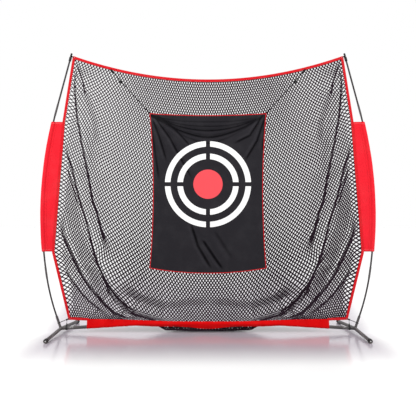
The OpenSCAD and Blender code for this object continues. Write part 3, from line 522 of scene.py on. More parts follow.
for side, hand in ((-1, "left"), (1, "right")):
    beads = []
    for lean, pipe_r in ((socket_lean, socket_pipe_r), (stub_lean, stub_pipe_r)):
        lean = math.radians(lean)
        pick()
        bpy.ops.mesh.primitive_torus_add(
            major_radius=pipe_r, minor_radius=weld_r, major_segments=120, minor_segments=10,
            location=(0, 0, 0))
        bead = bpy.context.object
        axis = Vector((math.sin(lean), 0, math.cos(lean)))
        out = Vector((math.cos(lean), 0, -math.sin(lean)))
        for v in bead.data.vertices:
            angle = math.atan2(v.co.y, v.co.x)
            scale = 1 + weld_swell * abs(math.sin(weld_scales * angle))
            wide = pipe_r + (math.hypot(v.co.x, v.co.y) - pipe_r) * scale
            seat = math.sqrt(max(1e-8, (tube_r + weld_seat) ** 2 - (pipe_r * math.cos(angle)) ** 2))
            v.co = (Vector((joint_x, 0, joint_z)) + axis * (seat + v.co.z * scale)
                    + out * wide * math.cos(angle) + Vector((0, 1, 0)) * wide * math.sin(angle))
            v.co.x *= side
        beads.append(bead)
    pick(*beads)
    bpy.ops.object.join()
    weld = bpy.context.object
    weld.name = hand + "_corner_welds"
    on_all_of_it(bpy.ops.mesh.normals_make_consistent, inside=False)
    bpy.ops.object.shade_smooth()
    weld.data.materials.append(joint_coat)
    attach(weld, "frame")


# ---- Rubber caps and their plugs -----------------------------------------------------
# Moulded black rubber caps stand the legs on the floor. Each has three ribs, a chalky
# bloom, and a pale plug pressed into the hole at its end.

rubber, tree, skin = shader("moulded rubber", Specular_IOR_Level=0.25)
here = spot(tree)
bloom = use(tree, dust, {"Place": here, "Amount": 0.5})["Mask"]
low_dirt = blur_step(tree, put(tree, "SeparateXYZ", {0: here}).outputs[2], 0.02, 0.0)
low_dirt = calc(tree, "MULTIPLY", low_dirt, noise(tree, here, 120.0, 3.0))
shade = tint(tree, noise(tree, here, 30.0), (0.010, 0.010, 0.011, 1), (0.022, 0.021, 0.021, 1))
shade = tint(tree, bloom, shade, (0.09, 0.085, 0.08, 1))
tree.links.new(tint(tree, low_dirt, shade, (0.16, 0.14, 0.12, 1)), skin.inputs["Base Color"])
vary_roughness(tree, skin, bloom, 0.62, 0.9)
bump(tree, skin, noise(tree, here, 1400.0), 0.00008)
dress(("left_front_cap", "right_front_cap", "left_rear_cap", "right_rear_cap"), rubber)

plug_face, tree, skin = shader("pale nylon plug", Roughness=0.45, Specular_IOR_Level=0.4)
here = spot(tree)
grime = use(tree, dust, {"Place": here, "Amount": 0.5})["Mask"]
tree.links.new(tint(tree, grime, (0.62, 0.62, 0.61, 1), (0.30, 0.29, 0.27, 1)), skin.inputs["Base Color"])
bump(tree, skin, noise(tree, here, 900.0), 0.00006)

foot_end_z, foot_reach = 0.0149, 0.470
leg_drop = math.asin((joint_z - foot_end_z) / foot_reach)
front_splay, rear_splay = math.radians(2.0), math.radians(6.0)
plug_out, plug_r, plug_deep = 0.4688, 0.0047, 0.0030
for side, hand in ((-1, "left"), (1, "right")):
    for way, splay, end in ((-1, front_splay, "front"), (1, rear_splay, "rear")):
        ahead = Vector((
            -way * side * math.sin(splay) * math.cos(leg_drop), way * math.cos(splay) * math.cos(leg_drop),
            -math.sin(leg_drop)))
        foot = Vector((side * joint_x, 0, joint_z)) + ahead * plug_out
        pick()
        bpy.ops.mesh.primitive_cylinder_add(
            vertices=32, radius=plug_r, depth=plug_deep, end_fill_type="NGON", location=foot,
            rotation=ahead.to_track_quat("Z", "Y").to_euler())
        plug = bpy.context.object
        plug.name = hand + "_" + end + "_plug"
        on_all_of_it(bpy.ops.mesh.bevel, offset=0.0007, segments=3, affect="EDGES")
        bpy.ops.object.transform_apply(location=True, rotation=True, scale=True)
        bpy.ops.object.shade_smooth_by_angle(angle=math.radians(40))
        plug.data.materials.append(plug_face)
        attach(plug, "frame")


# ---- Zinc hardware -------------------------------------------------------------------
# Zinc-plated snap buttons, the wire rings that carry the target, and the springs behind
# the buttons and in the cord locks. The brass grommets in the net's corners are enamelled
# red like the tape.

zinc, tree, skin = shader("zinc plate", Metallic=0.95)
here = spot(tree)
marks = use(tree, scuff, {"Place": here, "Amount": 0.8})["Mask"]
stain = noise(tree, here, 90.0, 3.0)
shade = tint(tree, stain, (0.42, 0.42, 0.43, 1), (0.62, 0.62, 0.63, 1))
tree.links.new(tint(tree, marks, shade, (0.25, 0.24, 0.23, 1)), skin.inputs["Base Color"])
vary_roughness(tree, skin, stain, 0.22, 0.42)
bump(tree, skin, noise(tree, here, 800.0, 2.0, 0.5, (1, 1, 0.1)), 0.00004)
dress(("left_snap_button", "right_snap_button", "left_snap_spring", "right_snap_spring",
       "left_lock_spring", "right_lock_spring", "target_rings"), zinc)

enamel, tree, skin = shader("red enamelled brass", Roughness=0.42, Specular_IOR_Level=0.3)
here = spot(tree)
chips = use(tree, scuff, {"Place": here, "Amount": 0.5})["Mask"]
paint = tint(tree, noise(tree, here, 70.0), (0.50, 0.004, 0.008, 1), (0.74, 0.008, 0.014, 1))
tree.links.new(tint(tree, chips, paint, (0.36, 0.29, 0.17, 1)), skin.inputs["Base Color"])
bump(tree, skin, noise(tree, here, 500.0), 0.00003)
dress(("net_grommets",), enamel)

lock_slope = (0.746203, 0.665719)
for side, hand in ((-1, "left"), (1, "right")):
    lock_axis = Vector((-side * lock_slope[0], 0, lock_slope[1]))
    for kind, body, axis in (("_snap", "frame", Vector((0, -1, 0))), ("_lock", hand + "_lock", lock_axis)):
        node = hand + kind + "_spring"
        pick(cad[node])
        bpy.ops.object.duplicate()
        bpy.ops.object.parent_clear(type="CLEAR_KEEP_TRANSFORM")
        bpy.ops.object.transform_apply(location=True, rotation=True, scale=True)
        spring = bpy.context.object
        spring.name = node + "_that_gives"
        del spring["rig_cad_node"]
        on_all_of_it(bpy.ops.mesh.remove_doubles, threshold=0.000005)
        reach = [axis.dot(v.co) for v in spring.data.vertices]
        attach(spring, body)
        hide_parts(node)
        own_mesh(spring)


# ---- Fibreglass poles and ferrules -----------------------------------------------------
# Five pultruded sections a side, dark grey, with fibres that show along them, and
# coated steel ferrules over the joints.

fibre, tree, skin = shader("pultruded fibreglass", Specular_IOR_Level=0.3)
here = spot(tree)
streak = noise(tree, here, 420.0, 3.0, 0.6, (1, 1, 0.02))
long_streak = noise(tree, here, 90.0, 2.0, 0.5, (1, 1, 0.03))
dirt = use(tree, dust, {"Place": here, "Amount": 0.12})["Mask"]
shade = tint(tree, streak, (0.010, 0.008, 0.009, 1), (0.028, 0.022, 0.024, 1))
shade = tint(tree, calc(tree, "MULTIPLY", long_streak, 0.4), shade, (0.04, 0.033, 0.036, 1))
tree.links.new(tint(tree, dirt, shade, (0.30, 0.28, 0.27, 1)), skin.inputs["Base Color"])
vary_roughness(tree, skin, streak, 0.38, 0.58)
bump(tree, skin, streak, 0.00010)
dress([f"{hand}_pole_{k}" for hand in ("left", "right") for k in range(1, 6)], fibre)

ferrule_coat = coated_steel("charcoal coat of the ferrules")
dress(("left_pole_ferrules", "right_pole_ferrules"), ferrule_coat)


# ---- Moulded plastic -------------------------------------------------------------------
# Black nylon: the poles' tip caps, the bottom beads and hooks, and the target's cord
# locks with their plungers. It has a fine spark-eroded grain and pale rubbed spots.

nylon, tree, skin = shader("moulded black nylon", Specular_IOR_Level=0.25)
here = spot(tree)
rubs = use(tree, scuff, {"Place": here, "Amount": 0.5})["Mask"]
dirt = use(tree, dust, {"Place": here, "Amount": 0.25})["Mask"]
shade = tint(tree, noise(tree, here, 60.0), (0.004, 0.004, 0.005, 1), (0.010, 0.010, 0.011, 1))
shade = tint(tree, rubs, shade, (0.04, 0.04, 0.042, 1))
tree.links.new(tint(tree, dirt, shade, (0.12, 0.115, 0.11, 1)), skin.inputs["Base Color"])
vary_roughness(tree, skin, rubs, 0.5, 0.32)
bump(tree, skin, noise(tree, here, 2600.0), 0.00005)
dress(("left_tip_cap", "right_tip_cap", "bottom_beads", "left_stub_hook", "right_stub_hook",
       "left_lock_body", "right_lock_body", "left_lock_plunger", "right_lock_plunger"), nylon)


# ---- Red webbing round the net -----------------------------------------------------------
# Polyester tape, 40 mm wide before it is folded over the net's edge and sewn with two
# rows of red thread. One length goes along the top, one down each side, and a short
# one from each bottom corner to the band. Its holes take the grommets.

top_x, top_z, top_sag = 1.02316, 2.09895, 0.177
bottom_x, bottom_z = 1.0576, 0.106
band_half = 0.924
flap_high_x, flap_high_z = 1.102, 1.607
flap_low_x, flap_low_z = 1.183, 0.618
tape_w, tape_t = 0.020, 0.0032
side_tape_t = 0.0037
strap_x = 0.754
rib_pitch, ribs_across, stitch_pitch = 0.0016, 9, 0.0042


def top_edge_z(x):
    return top_z - top_sag * (1 - (x / top_x) ** 2)


def stitches(tree, along, pitch):
    """1 on each stitch of a sewn row, and 0 between two stitches."""
    step = calc(tree, "FRACT", calc(tree, "DIVIDE", along, pitch))
    return blur_step(tree, how_far(tree, step, 0.5), 0.36, 0.28)


ribbed, inner, outer = effect(
    "ribbed tape",
    [("Cut", "Vector", None), ("First row", "Float", 0.2), ("Second row", "Float", 0.8)],
    [("Height", "Float"), ("Thread", "Float")])
cut = put(ribbed, "SeparateXYZ", {0: inner["Cut"]}).outputs
rib = calc(ribbed, "SINE", calc(ribbed, "MULTIPLY", cut[1], 2 * math.pi / rib_pitch))
rib = calc(ribbed, "MULTIPLY_ADD", rib, 0.5, 0.5)
cross = calc(ribbed, "SINE", calc(ribbed, "MULTIPLY", cut[0], 2 * math.pi * ribs_across))
cross = calc(ribbed, "MULTIPLY_ADD", cross, 0.2, 0.3)
dash = stitches(ribbed, cut[1], stitch_pitch)
rows = 0.0
for row in ("First row", "Second row"):
    near = blur_step(ribbed, how_far(ribbed, cut[0], inner[row]), 0.055, 0.03)
    rows = calc(ribbed, "MAXIMUM", rows, near)
thread = calc(ribbed, "MULTIPLY", rows, dash)
sunk = calc(ribbed, "MULTIPLY", calc(ribbed, "SUBTRACT", rows, thread), 0.8)
base = calc(ribbed, "MULTIPLY_ADD", rib, 0.5, cross)
ribbed.links.new(calc(ribbed, "SUBTRACT", calc(ribbed, "ADD", base, thread), sunk), outer["Height"])
ribbed.links.new(thread, outer["Thread"])


def webbing(name, dark, light, stitch, rows=(0.2, 0.8), dusty=0.15):
    """Woven tape with two rows of stitches, from its darkest and lightest colours."""
    material, tree, skin = shader(name, Roughness=0.75, Specular_IOR_Level=0.1, Sheen_Weight=0.04)
    cut = spot(tree, uv=True)
    tape = use(tree, ribbed, {"Cut": cut, "First row": rows[0], "Second row": rows[1]})
    dirt = use(tree, dust, {"Place": spot(tree), "Amount": dusty})["Mask"]
    fade = noise(tree, spot(tree), 18.0, 3.0)
    shade = tint(tree, tape["Height"], dark, tint(tree, fade, dark, light))
    shade = tint(tree, tape["Thread"], shade, stitch)
    tree.links.new(tint(tree, dirt, shade, (0.4, 0.36, 0.34, 1)), skin.inputs["Base Color"])
    bump(tree, skin, tape["Height"], 0.00035)
    return material


red_tape = webbing("red polyester webbing", (0.52, 0.003, 0.008, 1), (0.80, 0.008, 0.018, 1),
                   (0.82, 0.03, 0.04, 1), dusty=0.06)


def fold_outline(width, thickness, leaf=0.0012):
    """The end view of a folded tape: (across, depth, cut) going round, fold first at -width/2."""
    turns = 6
    half, out, gap = width / 2, thickness / 2, thickness / 2 - leaf
    ring = [(half, -out, 1.0)]
    ring += [(half - width * k / 5, -out, 1 - k / 5) for k in range(1, 5)]
    for k in range(turns + 1):
        a = math.pi * k / turns
        ring.append((-half + out - out * math.sin(a), -out * math.cos(a), 0.02))
    ring += [(half - width * k / 5, out, 1 - k / 5) for k in range(4, 0, -1)]
    ring += [(half, out, 1.0), (half, gap, 1.0)]
    ring += [(-half + out, gap, 0.1), (-half + out, -gap, 0.1), (half, -gap, 1.0)]
    return ring


def sides_of(ring, place):
    """Each side of a closed ring as the cut's place where it begins and where it ends."""
    return [(a[place], b[place]) for a, b in zip(ring, list(ring[1:]) + list(ring[:1]))]


def folded_tape(name, line, width, thickness, inward, seed=0):
    """A folded tape along a line of x and z points. inward is 1 where the net lies to the left."""
    wobble, pucker_height, pucker_pitch = 0.0004, 0.05, 0.0126
    ring = fold_outline(width, thickness)
    n = len(ring)
    line = np.array(line, float)
    ahead = np.gradient(line, axis=0)
    ahead /= np.linalg.norm(ahead, axis=1)[:, None]
    left = np.stack([-ahead[:, 1], ahead[:, 0]], axis=1) * inward
    run = run_of(line)
    wave = (np.sin(run * 130 + seed) + 0.6 * np.sin(run * 61 + 2 * seed)) * wobble
    pucker = 1 + pucker_height * np.sin(run * 2 * math.pi / pucker_pitch)
    points = []
    for k in range(len(line)):
        for across, depth, _ in ring:
            p = line[k] + left[k] * (across + wave[k] * (across + width / 2) / width)
            points.append((p[0], depth * pucker[k] + 0.4 * wave[k], p[1]))
    faces, uv = wrap_faces(len(line), n), wrap_cut(sides_of(ring, 2), run)
    first, last = list(range(n)), [(len(line) - 1) * n + s for s in range(n)]
    ends = (first[::-1], last)
    if inward > 0:
        faces = [(a, d, c, b) for a, b, c, d in faces]
        uv = [uv[k + c] for k in range(0, len(uv), 4) for c in (0, 3, 2, 1)]
        ends = (first, last[::-1])
    for end in ends:
        faces.append(end)
        uv += [(ring[c % n][2], run[c // n]) for c in end]
    return sewn_mesh(name, points, faces, uv)


def spaced(line):
    """A line of x and z points again, at even steps."""
    pitch = 0.004
    line = np.array(line, float)
    run = run_of(line)
    even = np.linspace(0, run[-1], max(2, int(run[-1] / pitch) + 1))
    return np.stack([np.interp(even, run, line[:, 0]), np.interp(even, run, line[:, 1])], axis=1)


def punch(piece, spots, radius):
    """Cuts round holes through a piece, front to back, at x and z spots."""
    for x, z in spots:
        pick()
        bpy.ops.mesh.primitive_cylinder_add(
            vertices=32, radius=radius, depth=0.03, location=(x, 0, z), rotation=(math.radians(90), 0, 0))
        punch_tool = bpy.context.object
        cut = piece.modifiers.new("hole", "BOOLEAN")
        cut.object = punch_tool
        cut.operation = "DIFFERENCE"
        cut.solver = "EXACT"
        bpy.context.view_layer.objects.active = piece
        bpy.ops.object.modifier_apply(modifier=cut.name)
        bpy.data.objects.remove(punch_tool)


corner_in = 0.006
hole_r = 0.0043
lap_half, lap_soft, lap_swell, lap_back = 0.012, 0.006, 1.3, 0.0016
smoothings = 12
arc = [(x, top_edge_z(x)) for x in np.linspace(-top_x - corner_in, top_x + corner_in, 120)]
top_tape = folded_tape("top_webbing", spaced(arc), tape_w, tape_t, -1)
for vertex in top_tape.data.vertices:
    past_strap = max(0.0, abs(abs(vertex.co.x) - strap_x) - lap_half)
    over_strap = float(np.exp(-(past_strap / lap_soft) ** 2))
    vertex.co.y += over_strap * (lap_swell * vertex.co.y - lap_back)
punch(top_tape, [(-top_x, top_z), (top_x, top_z)], hole_r)
tapes = [(top_tape, "top_binding")]
for side, hand in ((-1, "left"), (1, "right")):
    edge = [(top_x - 0.001, top_z + 0.0085), (flap_high_x, flap_high_z), (flap_low_x, flap_low_z),
            (bottom_x - 0.001, bottom_z - 0.009)]
    edge = spaced([(side * x, z) for x, z in edge])
    for _ in range(smoothings):
        edge[1:-1] = (edge[:-2] + 2 * edge[1:-1] + edge[2:]) / 4
    tape = folded_tape(hand + "_side_webbing", edge, tape_w, side_tape_t, -side, seed=3 * side)
    punch(tape, [(side * top_x, top_z), (side * bottom_x, bottom_z)], hole_r)
    tapes.append((tape, hand + "_side_binding"))
    edge = [(bottom_x + 0.008, bottom_z + 0.0003), (band_half, bottom_z - 0.006),
            (band_half - 0.012, bottom_z - 0.0066)]
    edge = spaced([(side * x, z) for x, z in edge])
    tape = folded_tape(hand + "_bottom_webbing", edge, tape_w, tape_t, -side, seed=5 * side)
    punch(tape, [(side * bottom_x, bottom_z)], hole_r)
    tapes.append((tape, "bottom_bindings"))
for tape, node in tapes:
    tape.data.materials.append(red_tape)
    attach(tape, "frame")
    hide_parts(node)


# ---- The net ---------------------------------------------------------------------------
# One bag of knotless black polyester netting with a 20 mm mesh. Every cord of the mesh
# is a strand from edge to edge, laid both ways on the sagging bag. The slack hangs in
# long folds that run from the sides down and in, and the mesh gathers along them.

mesh_across, mesh_down = 208, 132
strand_w, strand_t = 0.0077, 0.0028
flat_right, flat_low = 0.11, 0.27
flat_belly, flat_corner = 0.20, 0.22
bag_depth = 0.388
fold_depth = 0.026
edge_in = 0.0035
floor_gap = 0.0035
band_top_z = 0.0795


def lerp(a, b, t):
    return a + (b - a) * t


def ease(t):
    t = np.clip(t, 0, 1)
    return t * t * (3 - 2 * t)


def band_rise(out):
    """How much higher the band's top edge is at a distance from the middle."""
    rise, rise_from, rise_over = 0.0185, 0.12, 0.78
    return rise * ease((out - rise_from) / rise_over)


bag_top = top_z - top_sag - edge_in
outline = np.array([
    (0, 1), (0.27, 0.858), (0.49, 0.711), (0.68, 0.565), (0.83, 0.418), (0.94, 0.275),
    (1, 0.152), (0.91, 0.047), (0.66, 0.004), (0.39, 0.002), (0.18, 0.002),
    (0.010 / bag_depth, band_top_z / bag_top)])
bag_line = []
for k in range(len(outline) - 1):
    a, b = outline[max(0, k - 1)], outline[k]
    c, d = outline[k + 1], outline[min(len(outline) - 1, k + 2)]
    for t in np.arange(0, 1, 0.125):
        squared, cubed = 2 * a - 5 * b + 4 * c - d, 3 * b - a - 3 * c + d
        bag_line.append(0.5 * (2 * b + (c - a) * t + squared * t ** 2 + cubed * t ** 3))
bag_line = np.array(bag_line + [outline[-1]]) * (bag_depth, bag_top)
bag_line[:-1, 1] = np.maximum(bag_line[:-1, 1], 0.004)
bag_run = run_of(bag_line)
bag_run /= bag_run[-1]
side_z = (bottom_z, flap_low_z, flap_high_z, top_z)
side_x = (bottom_x, flap_low_x, flap_high_x, top_x)
corner_rise, corner_from, corner_over = 0.009, 0.88, 0.1
round_out, round_down = 2.6, 2.2
drift_w = 0.055
drifts = ((0.10, 0.50, 0.7), (0.30, 0.62, 1.0), (0.60, 0.57, 1.0), (0.78, 0.62, 0.6))


def bag(u, v):
    """The bag's middle surface, for u from -1 to 1 across and v from 0 to 1 down."""
    level = lerp(top_z - edge_in, bottom_z + edge_in, v)
    w = 1 - abs(u)
    x = u * (np.interp(level, side_z, side_x) - edge_in)
    top = top_edge_z(u * (top_x - edge_in)) - edge_in
    out = abs(u * bottom_x)
    low = band_top_z + band_rise(out) + corner_rise * ease((out - corner_from) / corner_over)
    drop = np.interp(v, bag_run, bag_line[:, 1]) - lerp(bag_top, band_top_z, v)
    rounding = 1 - abs(u) ** round_out
    drift = sum(strength * ease((v - start) * 6) * np.exp(-((w - 0.06 - lean * (v - start)) / drift_w) ** 2)
                for start, lean, strength in drifts)
    y = np.interp(v, bag_run, bag_line[:, 0]) * rounding + 0.004 * v * (1 - rounding) * ease(w * 6)
    y = y + fold_depth * ease(w * 5) * ease((1 - v) * 5) * drift
    z = np.maximum(floor_gap, lerp(top, low, v) + drop * (1 - abs(u) ** round_down))
    return np.stack([x, y, z], axis=-1)


def beside(line, x, z):
    """How far points lie beside a line of x and z points, where along it, and the side's direction."""
    line = np.array(line, float)
    best = np.full(x.shape, 1e9)
    off, along, nx, nz = (np.zeros(x.shape) for _ in range(4))
    run = run_of(line)
    for k in range(len(line) - 1):
        (ax, az), (bx, bz) = line[k], line[k + 1]
        length = run[k + 1] - run[k]
        dx, dz = (bx - ax) / length, (bz - az) / length
        t = (x - ax) * dx + (z - az) * dz
        if k > 0:
            t = np.maximum(t, 0)
        if k < len(line) - 2:
            t = np.minimum(t, length)
        px, pz = x - ax - dx * t, z - az - dz * t
        far = np.hypot(px, pz)
        nearer = far < best
        best = np.where(nearer, far, best)
        sign = np.where(px * -dz + pz * dx < 0, -1.0, 1.0)
        off = np.where(nearer, far * sign, off)
        along = np.where(nearer, (run[k] + t) / run[-1], along)
        nx, nz = np.where(nearer, -dz, nx), np.where(nearer, dx, nz)
    return off, along, nx, nz


# Each fold as seen from the front, on the right: its line, the half widths of the mesh
# that it draws together before and after, how far it stands out, and how far the mesh
# slips along it. The broad folds come first, and the sharp ones last.
net_folds = (
    (((0.609, 0.370), (0.510, 0.293), (0.441, 0.263), (0.334, 0.232), (0.220, 0.225), (0.0, 0.240)),
     0.040, 0.026, 0.0, 0.0),
    (((1.113, 1.187), (1.085, 1.007), (1.059, 0.919), (0.991, 0.721), (0.922, 0.522), (0.853, 0.347),
      (0.792, 0.247)), 0.045, 0.037, 0.0, 0.0),
    (((0.930, 1.866), (0.892, 1.744), (0.869, 1.668), (0.846, 1.591), (0.830, 1.431)),
     0.028, 0.021, 0.006, 0.0),
    (((0.998, 2.004), (0.960, 1.775), (0.922, 1.546), (0.892, 1.393), (0.861, 1.225)),
     0.002, 0.002, 0.0, 0.020),
    (((0.857, 0.599), (0.777, 0.407), (0.739, 0.331), (0.685, 0.270), (0.624, 0.209), (0.548, 0.163),
      (0.441, 0.118), (0.342, 0.087), (0.25, 0.07)), 0.058, 0.022, 0.020, 0.0),
    (((1.014, 1.966), (1.005, 1.905), (0.998, 1.843)), 0.012, 0.005, 0.004, 0.0),
    (((1.006, 2.072), (0.965, 1.981), (0.937, 1.905), (0.922, 1.821)), 0.015, 0.0042, 0.006, 0.0),
    (((1.101, 1.263), (1.052, 1.095), (1.021, 0.968)), 0.010, 0.004, 0.003, 0.0),
    (((0.907, 0.767), (0.861, 0.645), (0.815, 0.538), (0.769, 0.446), (0.724, 0.354)),
     0.013, 0.0042, 0.006, 0.0),
    (((1.113, 0.469), (1.063, 0.393), (0.998, 0.301), (0.930, 0.225), (0.853, 0.163), (0.754, 0.102)),
     0.019, 0.0050, 0.010, 0.0),
    (((1.139, 0.851), (1.113, 0.751), (1.067, 0.637), (1.006, 0.507), (0.953, 0.408), (0.876, 0.301),
      (0.800, 0.217), (0.716, 0.148), (0.617, 0.105), (0.525, 0.087)), 0.040, 0.0105, 0.014, 0.0),
    (((1.020, 2.034), (1.023, 1.905), (1.010, 1.785), (0.996, 1.633), (0.960, 1.462), (0.930, 1.347),
      (0.899, 1.194), (0.869, 1.019), (0.830, 0.904), (0.800, 0.782), (0.762, 0.660)),
     0.028, 0.0068, 0.012, 0.0),
    (((1.101, 1.446), (1.067, 1.347), (1.029, 1.233), (1.003, 1.110), (0.979, 1.019), (0.945, 0.912),
      (0.914, 0.805), (0.876, 0.637), (0.830, 0.507), (0.792, 0.423), (0.739, 0.331), (0.662, 0.240)),
     0.026, 0.0064, 0.012, 0.0),
)
slip_w = 0.060
fold_reach = 0.42


def gather(points, u, v):
    """Draws the mesh together along its folds, and lets it slip along them."""
    points = points.copy()
    side = np.where(points[..., 0] < 0, -1.0, 1.0)
    hold = ease((1 - abs(u)) * 40) * ease(v * 22) * ease((1 - v) * 16)
    for line, drawn, tight, depth, slip in net_folds:
        near = view_distance / (view_distance + points[..., 1])
        x = abs(points[..., 0]) * near
        z = view_height + (points[..., 2] - view_height) * near
        off, along, nx, nz = beside(line, x, z)
        far = abs(off)
        fade = hold * ease(along * 5 + 0.35) * ease((1 - along) * 5 + 0.35)
        beyond = (drawn - tight) * np.clip(1 - (far - drawn) / fold_reach, 0, 1) ** 2
        shift = -np.sign(off) * np.where(far < drawn, far * (1 - tight / drawn), beyond) * fade / near
        slide = slip * fade * off / slip_w * np.exp(0.5 - 0.5 * (off / slip_w) ** 2) / near
        points[..., 0] += side * (nx * shift + nz * slide)
        points[..., 2] += nz * shift - nx * slide
        points[..., 1] -= depth * fade * np.exp(-(off / drawn) ** 2)
    points[..., 2] = np.maximum(points[..., 2], floor_gap)
    return points


roll_half, roll_from, roll_to, roll_rate = 0.43, 0.875, 0.975, 300
roll_y, roll_z, roll_deep, roll_high = 0.004, 0.0225, 0.005, 0.0045


def roll_under(points, v):
    """Rolls the slack under the middle of the crossbar into a loose dark rope behind the band's hem."""
    out = abs(points[..., 0])
    part = ease((roll_half - out) / 0.12) * ease((v - roll_from) / 0.02) * ease((roll_to - v) / 0.01)
    y = roll_y + roll_deep * np.sin(v * roll_rate)
    z = roll_z - 0.006 * ease((0.40 - out) / 0.3) + roll_high * np.cos(v * roll_rate)
    rolled = np.stack([points[..., 0], y, z], axis=-1)
    return points + (rolled - points) * part[..., None]


# The middle's rows of mesh are spread high up and bunched at the foot. The columns are
# drawn in at the top and spread below, and those beside the edges make up for it.
slack_middle, slack_fall, slack_reach = 0.15, 0.19, 0.85
wide_high, wide_gain, wide_reach = 0.91, 0.21, 0.5
turn_at, turn_over = 0.5, 0.3

across, down = np.meshgrid(np.arange(mesh_across + 1), np.arange(mesh_down + 1))
v = down / mesh_down
u = 2 * across / mesh_across - 1
slack = slack_middle - slack_fall * ease(abs(u) / slack_reach)
v = v * (1 + slack - slack * v ** 4)
wide = wide_high + wide_gain * ease(v / wide_reach)
turn = np.clip((abs(u) - turn_at) / turn_over, 0, 1)
edge_run = turn_over * (turn ** 3 - turn ** 4 / 2) + np.maximum(0, abs(u) - turn_at - turn_over)
u = wide * u - np.sign(u) * (wide - 1) / (1 - turn_at - turn_over / 2) * edge_run
knots = roll_under(gather(bag(u, v), u, v), v)
facing = np.cross(np.gradient(knots, axis=0), np.gradient(knots, axis=1))
facing /= np.linalg.norm(facing, axis=-1)[..., None]

cross_section = ((-0.5, 0.32), (0.5, 0.32), (0.0, -0.68))
lift = 0.0004
low_from, low_over = 1.7, 1.3
belly_at, belly_size = (0.62, 0.42), (0.20, 0.24)
corner_at, corner_size = (0.92, 0.18), (0.16, 0.16)


def near_spot(across, height, middle, size):
    """1 at a spot given as x and z, falling softly to 0 round it."""
    return np.exp(-((across - middle[0]) / size[0]) ** 2 - ((height - middle[1]) / size[1]) ** 2)


points, faces, uv = [], [], []
strands = []
for i in range(0, mesh_across + 1, 2):
    strands += [(i, 0, 1), (i, 0, -1)]
for j in range(2, mesh_down, 2):
    strands += [(0, j, 1), (mesh_across, j, -1)]
total = 0
for i, j, way in strands:
    count = min(mesh_down - j, (mesh_across - i) if way > 0 else i) + 1
    if count < 2:
        continue
    k = np.arange(count)
    line, normal = knots[j + k, i + way * k], facing[j + k, i + way * k]
    ahead = np.gradient(line, axis=0)
    across_dir = np.cross(ahead, normal)
    across_dir /= np.linalg.norm(across_dir, axis=1)[:, None]
    across_x, height = abs(line[:, :1]), line[:, 2:]
    belly = near_spot(across_x, height, belly_at, belly_size)
    corner = near_spot(across_x, height, corner_at, corner_size)
    flat_w = strand_w * (1 + flat_right * line[:, :1] + flat_low * ease((low_from - height) / low_over)
                         + flat_belly * belly - flat_corner * corner)
    ring = [line + across_dir * flat_w * a - normal * (strand_t * b + lift * way) for a, b in cross_section]
    points.append(np.stack(ring, axis=1).reshape(-1, 3))
    run = run_of(line)
    for n in range(count - 1):
        for s in range(3):
            a, b = total + 3 * n + s, total + 3 * n + (s + 1) % 3
            faces.append((a, a + 3, b + 3, b))
            uv += [(s / 3, run[n]), (s / 3, run[n + 1]), ((s + 1) / 3, run[n + 1]), ((s + 1) / 3, run[n])]
    end = total + 3 * (count - 1)
    faces += [(total, total + 1, total + 2), (end, end + 2, end + 1)]
    uv += [(0, 0), (0.33, 0), (0.67, 0), (0, run[-1]), (0.67, run[-1]), (0.33, run[-1])]
    total += 3 * count
net = sewn_mesh("net_bag", np.concatenate(points), faces, uv)

twist_pitch = 0.006
cord, tree, skin = shader(
    "black polyester net cord", Roughness=0.85, Specular_IOR_Level=0.08, Sheen_Weight=0.02)
place = put(tree, "SeparateXYZ", {0: spot(tree, uv=True)})
twist = calc(tree, "ADD", calc(tree, "MULTIPLY", place.outputs[0], 4 * math.pi),
             calc(tree, "MULTIPLY", place.outputs[1], 2 * math.pi / twist_pitch))
ply = calc(tree, "MULTIPLY_ADD", calc(tree, "SINE", twist), 0.5, 0.5)
dirt = use(tree, dust, {"Place": spot(tree), "Amount": 0.05})["Mask"]
shade = tint(tree, ply, (0.009, 0.005, 0.008, 1), (0.034, 0.015, 0.030, 1))
tree.links.new(tint(tree, dirt, shade, (0.2, 0.18, 0.17, 1)), skin.inputs["Base Color"])
bump(tree, skin, ply, 0.0005)
net.data.materials.append(cord)
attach(net, "frame")
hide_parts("net")


# ---- Side flaps --------------------------------------------------------------------------
# Red oxford cloth. Each flap is sewn behind the side webbing, spans to the pole, wraps
# it in a sleeve, and comes back over itself to a seam beside the pole. Its top and
# bottom edges are turned in and hemmed, and the cloth is pulled in small creases.

cloth_t = 0.0009
sleeve_r = 0.0151
seam_lap = 0.014
hem, hem_row = 0.016, 0.013
seam_stitch = 0.0046

woven, inner, outer = effect(
    "woven cloth", [("Cut", "Vector", None), ("Pitch", "Float", 0.0011)],
    [("Height", "Float"), ("Yarn", "Float")])
cells = put(woven, "VectorMath", {0: inner["Cut"]}, operation="DIVIDE")
pitch = put(woven, "CombineXYZ", {0: inner["Pitch"], 1: inner["Pitch"], 2: 1.0})
woven.links.new(pitch.outputs[0], cells.inputs[1])
cell = put(woven, "SeparateXYZ", {0: cells.outputs[0]}).outputs
warp = calc(woven, "SINE", calc(woven, "MULTIPLY", cell[0], math.pi))
weft = calc(woven, "SINE", calc(woven, "MULTIPLY", cell[1], math.pi))
over = calc(woven, "MULTIPLY_ADD", calc(woven, "MULTIPLY", warp, weft), 0.5, 0.5)
woven.links.new(over, outer["Height"])
slub = noise(woven, cells.outputs[0], 0.35, 2.0, 0.5, (1, 0.05, 1))
woven.links.new(slub, outer["Yarn"])


